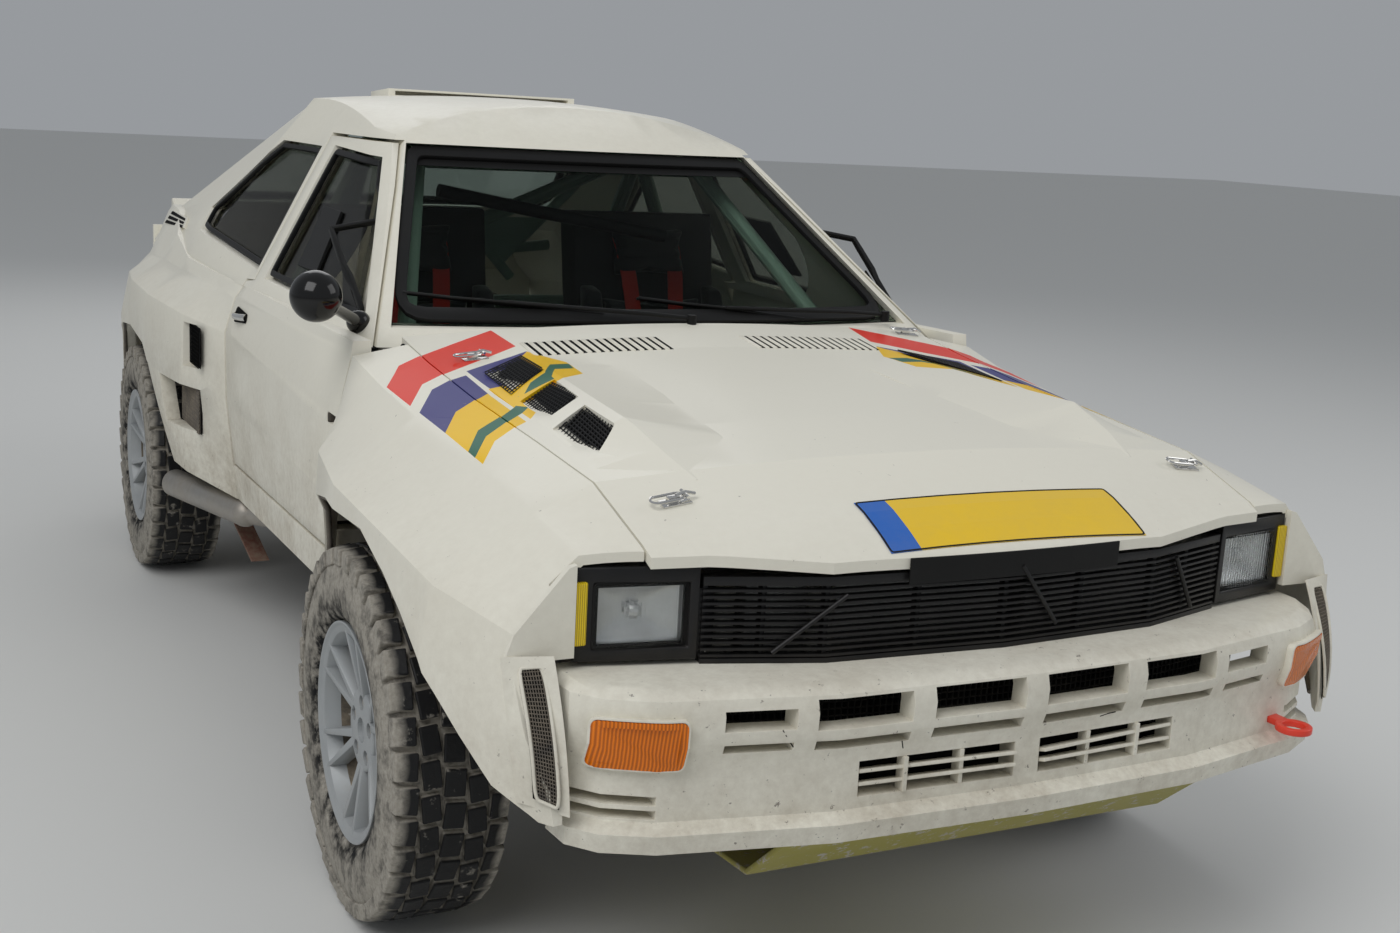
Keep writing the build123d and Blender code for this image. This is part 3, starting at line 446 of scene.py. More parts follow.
# bands over the shoulder of the front wings and the bonnet, seen from above: half width and place
stripeBands = {
    "Red": [
        [(0.750, -1.060), (0.742, -1.191), (0.691, -1.101), (0.699, -0.968)],
        [(0.699, -0.968), (0.691, -1.101), (0.636, -1.077), (0.643, -0.944)],
        [(0.643, -0.944), (0.636, -1.077), (0.438, -0.934), (0.450, -0.812)],
    ],
    "Blue": [
        [(0.738, -1.236), (0.733, -1.375), (0.686, -1.292), (0.685, -1.144)],
        [(0.685, -1.144), (0.686, -1.292), (0.631, -1.258), (0.631, -1.118)],
        [(0.631, -1.118), (0.631, -1.258), (0.603, -1.231), (0.603, -1.102)],
        [(0.593, -1.075), (0.429, -0.973), (0.440, -1.060), (0.572, -1.110)],
        [(0.593, -1.075), (0.560, -1.095), (0.560, -1.206), (0.590, -1.206)],
    ],
    "Yellow": [
        [(0.733, -1.375), (0.729, -1.568), (0.681, -1.492), (0.686, -1.292)],
        [(0.686, -1.292), (0.681, -1.492), (0.631, -1.462), (0.631, -1.258)],
        [(0.631, -1.258), (0.631, -1.462), (0.603, -1.438), (0.603, -1.231)],
        [(0.593, -1.206), (0.590, -1.424), (0.570, -1.400), (0.560, -1.206)],
        [(0.578, -1.262), (0.578, -1.330), (0.465, -1.250), (0.450, -1.130)],
        [(0.428, -0.974), (0.382, -1.078), (0.393, -1.193), (0.470, -1.255), (0.462, -1.020)],
    ],
    "Green": [
        [(0.730, -1.494), (0.730, -1.530), (0.685, -1.457), (0.686, -1.417)],
        [(0.686, -1.417), (0.685, -1.457), (0.630, -1.422), (0.631, -1.388)],
        [(0.631, -1.388), (0.630, -1.422), (0.570, -1.362), (0.585, -1.335)],
        [(0.550, -1.285), (0.515, -1.225), (0.462, -1.170), (0.470, -1.235)],
        [(0.478, -1.235), (0.462, -1.165), (0.427, -1.103), (0.436, -1.151)],
        [(0.427, -1.103), (0.384, -1.095), (0.391, -1.141), (0.436, -1.151)],
    ],
}


def makeStripeGroup():
    # one mask for each colour of the bands, the same on both sides of the car
    tree, _, out = newGroup("shoulderBands", {}, list(stripeBands))
    place = parted(tree, objectPlace(tree))
    plan = addNode(tree, "ShaderNodeCombineXYZ")
    feed(tree, plan.inputs[0], sums(tree, "ABSOLUTE", place["X"]))
    feed(tree, plan.inputs[1], place["Y"])
    plan.inputs[2].default_value = 1
    upper = sums(tree, "GREATER_THAN", place["Z"], bandsFrom)
    for colour, shapes in stripeBands.items():
        total = None
        for corners in shapes:
            # inside a convex shape, each edge's own measure is above zero
            area = sum(a[0] * b[1] - b[0] * a[1] for a, b in zip(corners, corners[1:] + corners[:1]))
            inside = None
            for a, b in zip(corners, corners[1:] + corners[:1]):
                side = Vector((a[1] - b[1], b[0] - a[0])) * (1 if area > 0 else -1)
                edge = addNode(tree, "ShaderNodeVectorMath", operation="DOT_PRODUCT")
                tree.links.new(plan.outputs[0], edge.inputs[0])
                edge.inputs[1].default_value = (side.x, side.y, -side.x * a[0] - side.y * a[1])
                value = edge.outputs["Value"]
                inside = value if inside is None else sums(tree, "MINIMUM", inside, value)
            total = inside if total is None else sums(tree, "MAXIMUM", total, inside)
        feed(tree, out[colour], sums(tree, "MULTIPLY", sums(tree, "GREATER_THAN", total, 0.0), upper))
    return tree


dustGroup = makeDustGroup()
chipGroup = makeChipGroup()
grainGroup = makeGrainGroup()
stripeGroup = makeStripeGroup()
print("node groups made")


# finishes

def startMaterial(name, colour, roughness, metallic=0.0):
    # a plain finish to build on
    material = bpy.data.materials.new(name)
    material.use_nodes = True
    tree = material.node_tree
    shader = tree.nodes["Principled BSDF"]
    shader.inputs["Base Color"].default_value = (*colour, 1)
    shader.inputs["Roughness"].default_value = roughness
    shader.inputs["Metallic"].default_value = metallic
    return material, tree, shader


def useGroup(tree, group, **values):
    # places a node group with its own values
    node = addNode(tree, "ShaderNodeGroup", node_tree=group)
    for key, value in values.items():
        node.inputs[key].default_value = value
    return node.outputs


def mixed(tree, factor, a, b):
    node = addNode(tree, "ShaderNodeMix", data_type="RGBA")
    feed(tree, node.inputs[0], factor)
    for socket, value in ((node.inputs[6], a), (node.inputs[7], b)):
        feed(tree, socket, value if isinstance(value, bpy.types.NodeSocket) else (*value, 1))
    return node.outputs[2]


def blendValue(tree, factor, a, b):
    node = addNode(tree, "ShaderNodeMix", data_type="FLOAT")
    feed(tree, node.inputs[0], factor)
    feed(tree, node.inputs[2], a)
    feed(tree, node.inputs[3], b)
    return node.outputs[0]


def bumped(tree, shader, height, strength, distance=0.001):
    node = addNode(tree, "ShaderNodeBump")
    node.inputs["Strength"].default_value = strength
    node.inputs["Distance"].default_value = distance
    tree.links.new(height, node.inputs["Height"])
    tree.links.new(node.outputs["Normal"], shader.inputs["Normal"])


tyreShape = {
    "pitches": 36, "carcassRadius": 0.336, "tipRadius": 0.3515, "lugLength": 0.052, "width": 0.216,
    "axles": (-1.307, 1.217), "axleZ": 0.352, "middle": 0.792,
}
mudColour = (0.36, 0.30, 0.22)
paleMud = (0.50, 0.46, 0.39)
bareMetal = (0.45, 0.43, 0.40)

paint = {
    "ivory": (0.87, 0.84, 0.73),
    "red": (0.80, 0.045, 0.025),
    "blue": (0.045, 0.045, 0.21),
    "yellow": (0.92, 0.56, 0.01),
    "green": (0.02, 0.14, 0.09),
    "primer": (0.30, 0.28, 0.25),
}


def makePaint(name, stripes=False, dust=0.75, topDust=0.2, chips=0.77):
    # gloss paint in layers: bands, chips down to the primer, then dust
    material, tree, shader = startMaterial(name, paint["ivory"], 0.3)
    grain = useGroup(tree, grainGroup, Scale=240.0, Slow=2.5)
    colour = mixed(tree, grain["Value"], [c * 0.95 for c in paint["ivory"]], paint["ivory"])
    if stripes:
        bands = useGroup(tree, stripeGroup)
        for label in ("Red", "Blue", "Yellow", "Green"):
            colour = mixed(tree, bands[label], colour, paint[label.lower()])
    chip = useGroup(tree, chipGroup, Limit=chips)["Mask"]
    colour = mixed(tree, chip, colour, paint["primer"])
    grime = useGroup(tree, dustGroup, Amount=dust, LowZ=0.35, HighZ=0.95, Top=topDust, Scale=5.0)["Mask"]
    colour = mixed(tree, grime, colour, mudColour)
    tree.links.new(colour, shader.inputs["Base Color"])
    tree.links.new(blendValue(tree, grime, 0.28, 0.85), shader.inputs["Roughness"])
    shader.inputs["Specular IOR Level"].default_value = 0.1
    bumped(tree, shader, grain["Height"], 0.03)
    return material


def makePlain(name, colour, roughness, metallic=0.0, dust=0.4, high=0.9, bump=0.15, scale=180.0,
              chips=None, top=0.25, shine=0.4):
    # one finish with grain, dust and, where asked, chips
    material, tree, shader = startMaterial(name, colour, roughness, metallic)
    shader.inputs["Specular IOR Level"].default_value = shine
    grain = useGroup(tree, grainGroup, Scale=scale, Slow=9.0)
    tone = mixed(tree, grain["Value"], [c * 0.8 for c in colour], [min(1, c * 1.15) for c in colour])
    if chips:
        chip = useGroup(tree, chipGroup, Limit=chips, Scale=38.0)["Mask"]
        tone = mixed(tree, chip, tone, bareMetal)
    grime = useGroup(tree, dustGroup, Amount=dust, LowZ=0.2, HighZ=high, Top=top, Scale=9.0)["Mask"]
    tree.links.new(mixed(tree, grime, tone, mudColour), shader.inputs["Base Color"])
    tree.links.new(blendValue(tree, grime, roughness, 0.9), shader.inputs["Roughness"])
    bumped(tree, shader, grain["Height"], bump)
    return material


def makeGlass(name, colour, roughness, dust, ior=1.1):
    # clear or tinted glass, slightly wavy, with a film of dust
    material, tree, shader = startMaterial(name, colour, roughness)
    shader.inputs["Transmission Weight"].default_value = 1.0
    shader.inputs["IOR"].default_value = ior
    grain = useGroup(tree, grainGroup, Scale=3.0, Slow=14.0)
    film = useGroup(tree, dustGroup, Amount=dust, LowZ=0.9, HighZ=1.5, Top=0.3, Scale=7.0)["Mask"]
    tree.links.new(mixed(tree, film, colour, paleMud), shader.inputs["Base Color"])
    tree.links.new(blendValue(tree, film, roughness, 0.35), shader.inputs["Roughness"])
    bumped(tree, shader, grain["Height"], 0.02, 0.01)
    return material


def makeLens(name, colour, ribScale):
    # moulded lens with upright ribs, each painted dark to light across as painted shade and highlight
    material, tree, shader = startMaterial(name, colour, 0.12)
    shader.inputs["Specular IOR Level"].default_value = 0.3
    shader.inputs["Coat Weight"].default_value = 0.2
    shader.inputs["Coat Roughness"].default_value = 0.05
    wave = addNode(tree, "ShaderNodeTexWave", bands_direction="X")
    tree.links.new(objectPlace(tree), wave.inputs["Vector"])
    wave.inputs["Scale"].default_value = ribScale
    # dark to light across each rib: painted shade and highlight on the ribs
    tone = mixed(tree, wave.outputs["Fac"], [c * 0.55 for c in colour], [min(1, c * 1.2) for c in colour])
    tree.links.new(tone, shader.inputs["Base Color"])
    bumped(tree, shader, wave.outputs["Fac"], 0.5, 0.002)
    return material


# radii and half widths between which the lugs are worn black, and radii where the wall is rubbed clean
rubberWear = {"tips": (0.3440, 0.3475), "tread": (0.104, 0.090), "wall": (0.275, 0.225)}


def makeRubber():
    # dried mud between the lugs and over the walls, with the lugs' tops worn black
    material, tree, shader = startMaterial("muddyRubber", (0.02, 0.02, 0.02), 0.75)
    coord = objectPlace(tree)
    split = parted(tree, coord)
    high = sums(tree, "SUBTRACT", split["Z"], tyreShape["axleZ"])
    reach = None
    for axle in tyreShape["axles"]:
        ahead = sums(tree, "SUBTRACT", split["Y"], axle)
        far = sums(tree, "SQRT", sums(tree, "ADD", sums(tree, "MULTIPLY", ahead, ahead),
                                      sums(tree, "MULTIPLY", high, high)))
        reach = far if reach is None else sums(tree, "MINIMUM", reach, far)
    across = sums(tree, "SUBTRACT", sums(tree, "ABSOLUTE", split["X"]), tyreShape["middle"])
    clump = noise(tree, coord, 34.0, 8.0, 0.65)
    fine = noise(tree, coord, 130.0, 5.0, 0.6)
    slow = noise(tree, coord, 5.0, 2.0)
    tops = sums(tree, "MULTIPLY", spread(tree, reach, *rubberWear["tips"]),
                spread(tree, sums(tree, "ABSOLUTE", across), *rubberWear["tread"]))
    bare = sums(tree, "MULTIPLY", tops, spread(tree, clump, 0.72, 0.60))
    wall = sums(tree, "MULTIPLY", spread(tree, reach, *rubberWear["wall"]), spread(tree, clump, 0.66, 0.42))
    rubber = mixed(tree, slow, (0.006, 0.006, 0.007), (0.016, 0.016, 0.016))
    mud = mixed(tree, fine, (0.20, 0.18, 0.15), (0.50, 0.47, 0.41))
    mud = mixed(tree, spread(tree, clump, 0.30, 0.52), mixed(tree, 0.7, mud, rubber), mud)
    tone = mixed(tree, sums(tree, "MAXIMUM", bare, wall), mud, rubber)
    tree.links.new(tone, shader.inputs["Base Color"])
    tree.links.new(blendValue(tree, bare, 0.95, 0.45), shader.inputs["Roughness"])
    shader.inputs["Specular IOR Level"].default_value = 0.25
    bumped(tree, shader, clump, 0.5, 0.004)
    return material


def makeCloth(name, colour):
    # woven cloth or webbing
    material, tree, shader = startMaterial(name, colour, 0.85)
    weave = addNode(tree, "ShaderNodeTexChecker")
    tree.links.new(objectPlace(tree), weave.inputs["Vector"])
    weave.inputs["Scale"].default_value = 420
    weave.inputs["Color1"].default_value = (*[c * 0.7 for c in colour], 1)
    weave.inputs["Color2"].default_value = (*[min(1, c * 1.3) for c in colour], 1)
    grain = useGroup(tree, grainGroup, Scale=300.0, Slow=8.0)
    tree.links.new(mixed(tree, grain["Value"], weave.outputs["Color"], colour), shader.inputs["Base Color"])
    shader.inputs["Sheen Weight"].default_value = 0.3
    bumped(tree, shader, grain["Height"], 0.4)
    return material


bonnetPlate = {"x": (-0.224, 0.296), "y": (-2.070, -1.948), "blueTo": -0.166, "lift": 0.0012,
               "depth": 0.001, "corner": 0.008, "rim": 0.0035}


def makePlateFace():
    # blank yellow registration plate with a blue end
    material, tree, shader = startMaterial("plateFace", paint["yellow"], 0.3)
    blueEnd = sums(tree, "LESS_THAN", parted(tree, objectPlace(tree))["X"], bonnetPlate["blueTo"])
    colour = mixed(tree, blueEnd, (0.93, 0.60, 0.01), (0.005, 0.13, 0.55))
    grime = useGroup(tree, dustGroup, Amount=0.35, LowZ=0.5, HighZ=0.95, Top=0.1, Scale=12.0)["Mask"]
    tree.links.new(mixed(tree, grime, colour, mudColour), shader.inputs["Base Color"])
    shader.inputs["Coat Weight"].default_value = 0.4
    return material


stripedPaint = makePaint("stripedIvory", stripes=True, dust=0.5, topDust=0.05)
ivoryPaint = makePaint("bodyIvory", dust=0.8)
bumperPaint = makePaint("bumperIvory", dust=0.6, chips=0.745)
blackPlastic = makePlain("blackPlastic", (0.010, 0.010, 0.011), 0.36, dust=0.10, bump=0.2, top=0.08,
                         shine=0.3)
blackTrim = makePlain("blackRubber", (0.008, 0.008, 0.008), 0.5, dust=0.06, bump=0.1, top=0.05, shine=0.22)
blackGloss = makePlain("blackGloss", (0.006, 0.006, 0.006), 0.12, dust=0.04, bump=0.03, top=0.03)
cagePaint = makePlain("cageGreen", (0.42, 0.56, 0.47), 0.35, dust=0.1, bump=0.03)
underMetal = makePlain("underMetal", (0.05, 0.045, 0.04), 0.65, metallic=0.3, dust=0.9, high=1.0, chips=0.72)
wornSteel = makePlain("wornSteel", (0.45, 0.43, 0.40), 0.38, metallic=0.9, dust=0.5, high=0.8)
castAlloy = makePlain("castAlloy", (0.38, 0.38, 0.37), 0.5, metallic=0.7, dust=0.4, bump=0.3, scale=90.0)
rimPaint = makePlain("rimPaint", (0.38, 0.40, 0.41), 0.42, metallic=0.2, dust=0.12, high=0.7, bump=0.06)
guardPaint = makePlain("guardOlive", (0.34, 0.31, 0.05), 0.5, dust=0.5, high=0.6, chips=0.68)
hookPaint = makePlain("towRed", (0.85, 0.05, 0.025), 0.35, dust=0.15, bump=0.05)
chrome = makePlain("brightChrome", (0.75, 0.74, 0.72), 0.16, metallic=1.0, dust=0.1, bump=0.02)
bowlMetal = makePlain("bowlMetal", (0.88, 0.89, 0.89), 0.38, metallic=0.5, dust=0.05, bump=0.1, scale=60.0)
amberLens = makeLens("amberLens", (0.90, 0.20, 0.004), 60.0)
yellowLens = makeLens("yellowReflector", (0.95, 0.62, 0.02), 90.0)
redLens = makeLens("redLens", (0.55, 0.02, 0.012), 40.0)
mudRubber = makeRubber()
seatCloth = makeCloth("seatCloth", (0.03, 0.03, 0.034))
seatShell = makePlain("seatShell", (0.025, 0.025, 0.027), 0.6, dust=0.15, bump=0.2)
plateBlank = makePlain("plateBlank", (0.62, 0.60, 0.52), 0.35, dust=0.4)
beltWeb = makeCloth("beltWebbing", (0.55, 0.03, 0.02))
flapRubber = makePlain("flapRubber", (0.20, 0.05, 0.035), 0.7, dust=0.8, high=0.7)
plateFace = makePlateFace()
clearGlass = makeGlass("clearGlass", (0.50, 0.56, 0.52), 0.02, 0.05)
sideGlass = makeGlass("sideGlass", (0.30, 0.30, 0.26), 0.04, 0.25)
lampGlass = makeGlass("lampGlass", (0.93, 0.95, 0.95), 0.06, 0.2, ior=1.2)
# near-black matte: painted shade in slots, openings, gaps and behind meshes; the bumper's cracks, the handle
# cups and the upper side vents' wires are drawn in it too
paintedShadeBlack = makePlain("paintedShadeBlack", (0.004, 0.004, 0.004), 0.8, dust=0.04, bump=0.05, top=0.02, shine=0.1)
paleDuct = makePlain("paleDuct", (0.45, 0.44, 0.40), 0.6, dust=0.3)
mudMesh = makePlain("mudMesh", (0.10, 0.09, 0.08), 0.7, dust=0.8, high=1.2, top=0.6, scale=60.0)
print("finishes made")


# panels that keep the CAD shape, with rounded edges

slots = {part["node"]: part["material_slot"] for part in frame["record"]["subparts"]}
bodyOf = {n: body for body, members in frame["record"]["behaviour"]["bodies"].items() for n in members}

# width of the rounded edges of each CAD piece that is shown
panelEdges = {
    0.0: ("steering_wheel", "roll_cage"),
    0.0005: ("grille",),
    0.001: ("exhaust", "front_suspension", "rear_suspension", "knuckle_left", "knuckle_right", "rear_hubs"),
    0.002: ("tail_panel", "tow_hook", "floor_pan", "front_frame", "rear_frame", "bulkhead"),
    0.0025: ("bonnet",),
    0.003: ("wing_left", "wing_right", "door_left", "door_right", "quarter_left", "quarter_right",
            "sill_left", "sill_right", "cabin_shell", "lamp_surrounds", "sump_guard"),
    0.004: ("boot_lid", "front_bumper", "mirror_right", "tail_lamps", "radiator"),
    0.008: ("rear_bumper",),
    0.012: ("dashboard", "engine"),
}
slotFinish = {
    "ivory_paint": ivoryPaint, "bumper_paint": bumperPaint, "black_plastic": blackPlastic,
    "clear_glass": clearGlass, "lamp_glass": lampGlass, "red_lens": redLens, "cage_paint": cagePaint,
    "under_metal": underMetal, "steel": wornSteel, "alloy": castAlloy, "rim_paint": rimPaint,
    "tyre_rubber": mudRubber, "seat_cloth": seatCloth, "guard_paint": guardPaint, "hook_paint": hookPaint,
}
striped = ("wing_left", "wing_right", "bonnet")


def panelName(node):
    words = node.split("_")
    return words[0] + "".join(w.capitalize() for w in words[1:]) + "Panel"


panels = {}
for width, group in panelEdges.items():
    for node in group:
        finish = stripedPaint if node in striped else slotFinish[slots[node]]
        panels[node] = finished(merged(node, width), panelName(node), bodyOf[node], slots[node], finish)
        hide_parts(node)
smooth(panels["bonnet"], 4)  # its humps keep their creases
for node in (*striped, "front_bumper"):
    modified(panels[node], "WEIGHTED_NORMAL", keep_sharp=True)
panels["mirror_right"].data.materials[0] = blackGloss
for node, glass in (("windscreen", clearGlass), ("rear_window", clearGlass), ("side_windows", sideGlass),
                    ("door_glass_left", sideGlass), ("door_glass_right", sideGlass)):
    nodes[node].data.materials.clear()
    nodes[node].data.materials.append(glass)
print("panels rounded:", len(panels))


# tyres

def lathed(outline, steps=96):
    # closed ring about the X axis from corners as x and radius
    ring = added(bpy.ops.mesh.primitive_circle_add, vertices=len(outline), radius=1, fill_type="NOTHING")
    for vertex, (x, r) in zip(ring.data.vertices, outline):
        vertex.co = (x, 0, r)
    openEdit(ring)
    bpy.ops.mesh.spin(steps=steps, angle=2 * math.pi, center=(0, 0, 0), axis=(1, 0, 0))
    leaveEdit()
    return outward(ring)


def onFourWheels(kind, parts):
    # copies of pieces made about the X axis for the left side, one on each axle; the first ones go
    for end in ("front", "rear"):
        for side, sign in bothSides:
            node = "_".join((kind, end, side.lower()))
            low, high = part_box(node)
            onAxle = Matrix.Translation((low + high) / 2) @ Matrix.Scale(sign, 4, (1, 0, 0))
            for obj, name, slotName, finishes in parts:
                piece = placed(obj, onAxle)
                finished(piece, name + end.capitalize() + side, bodyOf[node], slotName, *finishes)
                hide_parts(node)
    for obj, *_ in parts:
        bpy.data.objects.remove(obj)


# rows of lugs: x from and to, start as a part of a pitch, twist in degrees and radius of the foot
lugRows = [
    (0.0640, 0.1045, 0.00, 4, 0.312),
    (0.0240, 0.0580, 0.30, -6, 0.330),
    (-0.0200, 0.0180, 0.60, 5, 0.330),
    (-0.0600, -0.0260, 0.85, -6, 0.330),
    (-0.1045, -0.0660, 0.50, 4, 0.312),
]
lugShape = {"below": 0.0012, "taper": 0.93, "drop": 0.008, "tuck": 0.985, "edge": 0.0028, "shoulder": 0.1}


def makeTyre():
    half = tyreShape["width"] / 2 - 0.001
    carcass, length = tyreShape["carcassRadius"], tyreShape["lugLength"]
    profile = [(0.085, 0.1905), (0.085, 0.2085), (0.097, 0.2175), (0.1035, 0.232), (0.1065, 0.250),
               (half, 0.268), (half - 0.001, 0.290), (half - 0.005, 0.308), (half - 0.011, 0.322),
               (half - 0.020, 0.333), (0.060, carcass), (0.0, carcass + 0.001)]
    outline = [(-x, r) for x, r in profile] + [(x, r) for x, r in profile[-2::-1]]
    parts = [smooth(lathed(outline), 40)]
    pitch = 2 * math.pi / tyreShape["pitches"]
    top = tyreShape["tipRadius"] - lugShape["below"]
    for x0, x1, shift, twist, low in lugRows:
        block = newBox((x0, -length / 2, low), (x1, length / 2, top))
        for vertex in block.data.vertices:
            if vertex.co.z > top - 0.001:
                # tops are a little smaller, and drop at the tyre's shoulder
                vertex.co.y *= lugShape["taper"]
                if abs(vertex.co.x) > lugShape["shoulder"]:
                    vertex.co.z -= lugShape["drop"]
                    vertex.co.x *= lugShape["tuck"]
        bevelled(block, lugShape["edge"])
        middle = Vector(((x0 + x1) / 2, 0, 0))
        turn = Matrix.Rotation(math.radians(twist), 4, "Z")
        block.data.transform(Matrix.Translation(middle) @ turn @ Matrix.Translation(-middle))
        if max(abs(x0), abs(x1)) > lugShape["shoulder"]:
            for vertex in block.data.vertices:
                vertex.co.x = max(-half, min(half, vertex.co.x))
        for i in range(tyreShape["pitches"]):
            parts.append(placed(block, Matrix.Rotation((i + shift) * pitch, 4, "X")))
        bpy.data.objects.remove(block)
    return joined(parts)


onFourWheels("tyre", [(makeTyre(), "tyre", "tyre_rubber", (mudRubber,))])
print("tyres made")

# headlamps: a bright bowl behind fluted glass, in the black housing

lamp = {"x": (0.547, 0.690), "z": (0.711, 0.810), "frontY": (-1.995, -1.975), "bowlBack": 0.008,
        "bowlDeep": 0.024, "bulbRadius": 0.014, "bulbBack": 0.024, "flutes": 22, "fluteDeep": 0.0012,
        "bulge": 0.004, "frameGap": 0.004, "frameWidth": 0.008}


def makeHeadlamp():
    (x0, x1), (z0, z1) = lamp["x"], lamp["z"]
    midX, midZ = (x0 + x1) / 2, (z0 + z1) / 2

    def onFace(x, z, back=0.0):
        share = (x - x0) / (x1 - x0)
        return Vector((x, lamp["frontY"][0] + share * (lamp["frontY"][1] - lamp["frontY"][0]) + back, z))

    bowl = gridPlate((x0, z0), (x1, z1), (16, 12), lambda x, z: onFace(x, z, lamp["bowlBack"]))
    for vertex in bowl.data.vertices:
        across = 2 * abs(vertex.co.x - midX) / (x1 - x0)
        high = 2 * abs(vertex.co.z - midZ) / (z1 - z0)
        vertex.co.y += lamp["bowlDeep"] * (1 - max(across, high) ** 2.2)
    bowl = thick(smooth(bowl, 60), 0.002)
    bulb = settle(added(bpy.ops.mesh.primitive_uv_sphere_add, segments=16, ring_count=8,
                        radius=lamp["bulbRadius"], location=onFace(midX, midZ, lamp["bulbBack"])))
    glass = gridPlate((x0, z0), (x1, z1), (lamp["flutes"] * 4, 6), onFace)
    for vertex in glass.data.vertices:
        share = (vertex.co.x - x0) / (x1 - x0)
        vertex.co.y -= lamp["fluteDeep"] * abs(math.sin(share * lamp["flutes"] * math.pi))
        vertex.co.y -= lamp["bulge"] * (1 - (2 * share - 1) ** 4)
    outline = roundedBox(lamp["x"], lamp["z"], 0.010, lamp["frameGap"], 0.03)
    frameRing = ringed(plate(outline, lambda x, z: onFace(x, z, -0.001)), lamp["frameWidth"])
    return joined([bowl, bulb]), smooth(thick(glass, 0.004, 1), 70), bevelled(thick(frameRing, 0.007), 0.0015)


bowl, glass, frameRing = makeHeadlamp()
headlampPieces = mirroredPair([(bowl, "lampBowl", "lamp_glass", bowlMetal),
                               (glass, "lampGlass", "lamp_glass", lampGlass),
                               (frameRing, "lampFrame", "black_plastic", blackTrim)])
for side, _ in bothSides:
    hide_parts("headlamps")

# amber turn lamps in the bumper's corners and yellow reflectors beside the headlamps

turnLamp = {"x": (0.602, 0.728), "z": (0.562, 0.640), "stand": 0.006, "deep": 0.016, "rim": 0.003,
            "border": 0.009, "ahead": -2.1,
            "reflector": ((0.703, -1.981, 0.716), (0.7235, -1.958, 0.816))}


def makeTurnLamp(label, side):
    def laid(grow, radius, width, keepMiddle=False):
        # lens or rim laid on the bumper
        outline = roundedBox(turnLamp["x"], turnLamp["z"], radius, grow)
        flat = plate(outline, lambda x, z: Vector((side * x, turnLamp["ahead"], z)))
        flat = ringed(flat, width, keepMiddle)
        flat = draped(flat, "front_bumper", (0, 1, 0), turnLamp["stand"])
        return outward(thick(flat, turnLamp["deep"]))

    wide = turnLamp["rim"]
    lens = smooth(laid(0.0, 0.012, turnLamp["border"], True), 40)
    finished(lens, "turnLens" + label, "chassis", "red_lens", amberLens)
    rim = bevelled(laid(wide, 0.013, wide + 0.001), 0.001)
    finished(rim, "turnRim" + label, "chassis", "black_plastic", bumperPaint)
    low, high = [(side * x, y, z) for x, y, z in turnLamp["reflector"]]
    finished(bevelled(newBox(low, high), 0.003), "sideReflector" + label, "chassis", "red_lens", yellowLens)


for label, side in bothSides:
    makeTurnLamp(label, side)
print("lamps made")

# bumper: black mesh behind the upper vents with a near-black sheet of painted shade behind it, white slats in
# the lower ones

bumperMesh = {"y": -2.105, "z": (0.572, 0.668), "x": 0.56, "cell": 0.011, "wire": 0.0032, "bow": 0.22,
              "backZ": 0.47, "backGap": 0.014}


def makeBumperMesh():
    (z0, z1), x = bumperMesh["z"], bumperMesh["x"]
    cells = (int(2 * x / bumperMesh["cell"]), int((z1 - z0) / bumperMesh["cell"]))

    def bowed(px, pz, back=0.0):
        return Vector((px, bumperMesh["y"] + bumperMesh["bow"] * px * px + back, pz))

    mesh = wires(gridPlate((-x, z0), (x, z1), cells, bowed), bumperMesh["wire"])
    finished(mesh, "bumperMesh", "chassis", "black_plastic", blackPlastic)
    # near-black sheet behind the mesh: painted shade in the vents
    shadePlate = gridPlate((-x - 0.01, bumperMesh["backZ"]), (x + 0.01, z1), (24, 6),
                        lambda px, pz: bowed(px, pz, bumperMesh["backGap"]))
    shadePlate = bevelled(thick(shadePlate, 0.003, 1), 0.0008)
    finished(shadePlate, "bumperShade", "chassis", "black_plastic", paintedShadeBlack)


makeBumperMesh()

lowSlats = {"x": (0.027, 0.313), "z": (0.492, 0.550), "thick": 0.006, "deep": 0.030, "at": -2.160,
            "nod": -18, "sweep": 0.075, "posts": (0.35, 0.72), "postY": (-2.172, -2.150)}


def makeLowSlats():
    parts = []
    (x0, x1), (z0, z1), (y0, y1) = lowSlats["x"], lowSlats["z"], lowSlats["postY"]
    half = Vector((x1 - x0, lowSlats["deep"], lowSlats["thick"])) / 2
    nod = Matrix.Rotation(math.radians(lowSlats["nod"]), 4, "X")
    for side in (-1, 1):
        for share, lean in ((0.30, 0.8 * side), (0.66, -0.6)):  # place up the opening and lean in degrees
            slat = bevelled(newBox(-half, half), 0.0015)
            middle = Vector((side * (x0 + x1) / 2, lowSlats["at"], z0 + share * (z1 - z0)))
            sweep = Matrix.Rotation(side * lowSlats["sweep"], 4, "Z")
            slat.data.transform(Matrix.Translation(middle) @ sweep
                                @ Matrix.Rotation(math.radians(lean), 4, "Y") @ nod)
            parts.append(slat)
        for share in lowSlats["posts"]:
            x = side * (x0 + share * (x1 - x0))
            parts.append(bevelled(newBox((x - 0.004, y0, z0), (x + 0.004, y1, z1)), 0.001))
    finished(joined(parts), "bumperSlats", "chassis", "bumper_paint", bumperPaint)


makeLowSlats()
print("bumper dressed")

# black mesh in the wings' front edges, between the bumper's end and the wing, with a near-black sheet of
# painted shade behind it

wingMesh = {
    "slot": [(0.805, -2.051, 0.512), (0.775, -2.074, 0.500), (0.781, -2.002, 0.698), (0.818, -1.996, 0.697)],
    "face": [(0.822, -2.020, 0.497), (0.7585, -2.076, 0.486), (0.764, -2.003, 0.713), (0.841, -1.982, 0.713)],
    "cells": (9, 34), "wire": 0.0017, "rim": 0.0028, "bow": 0.014, "corner": 0.16,
    "cut": (-2.14, 0.2)}


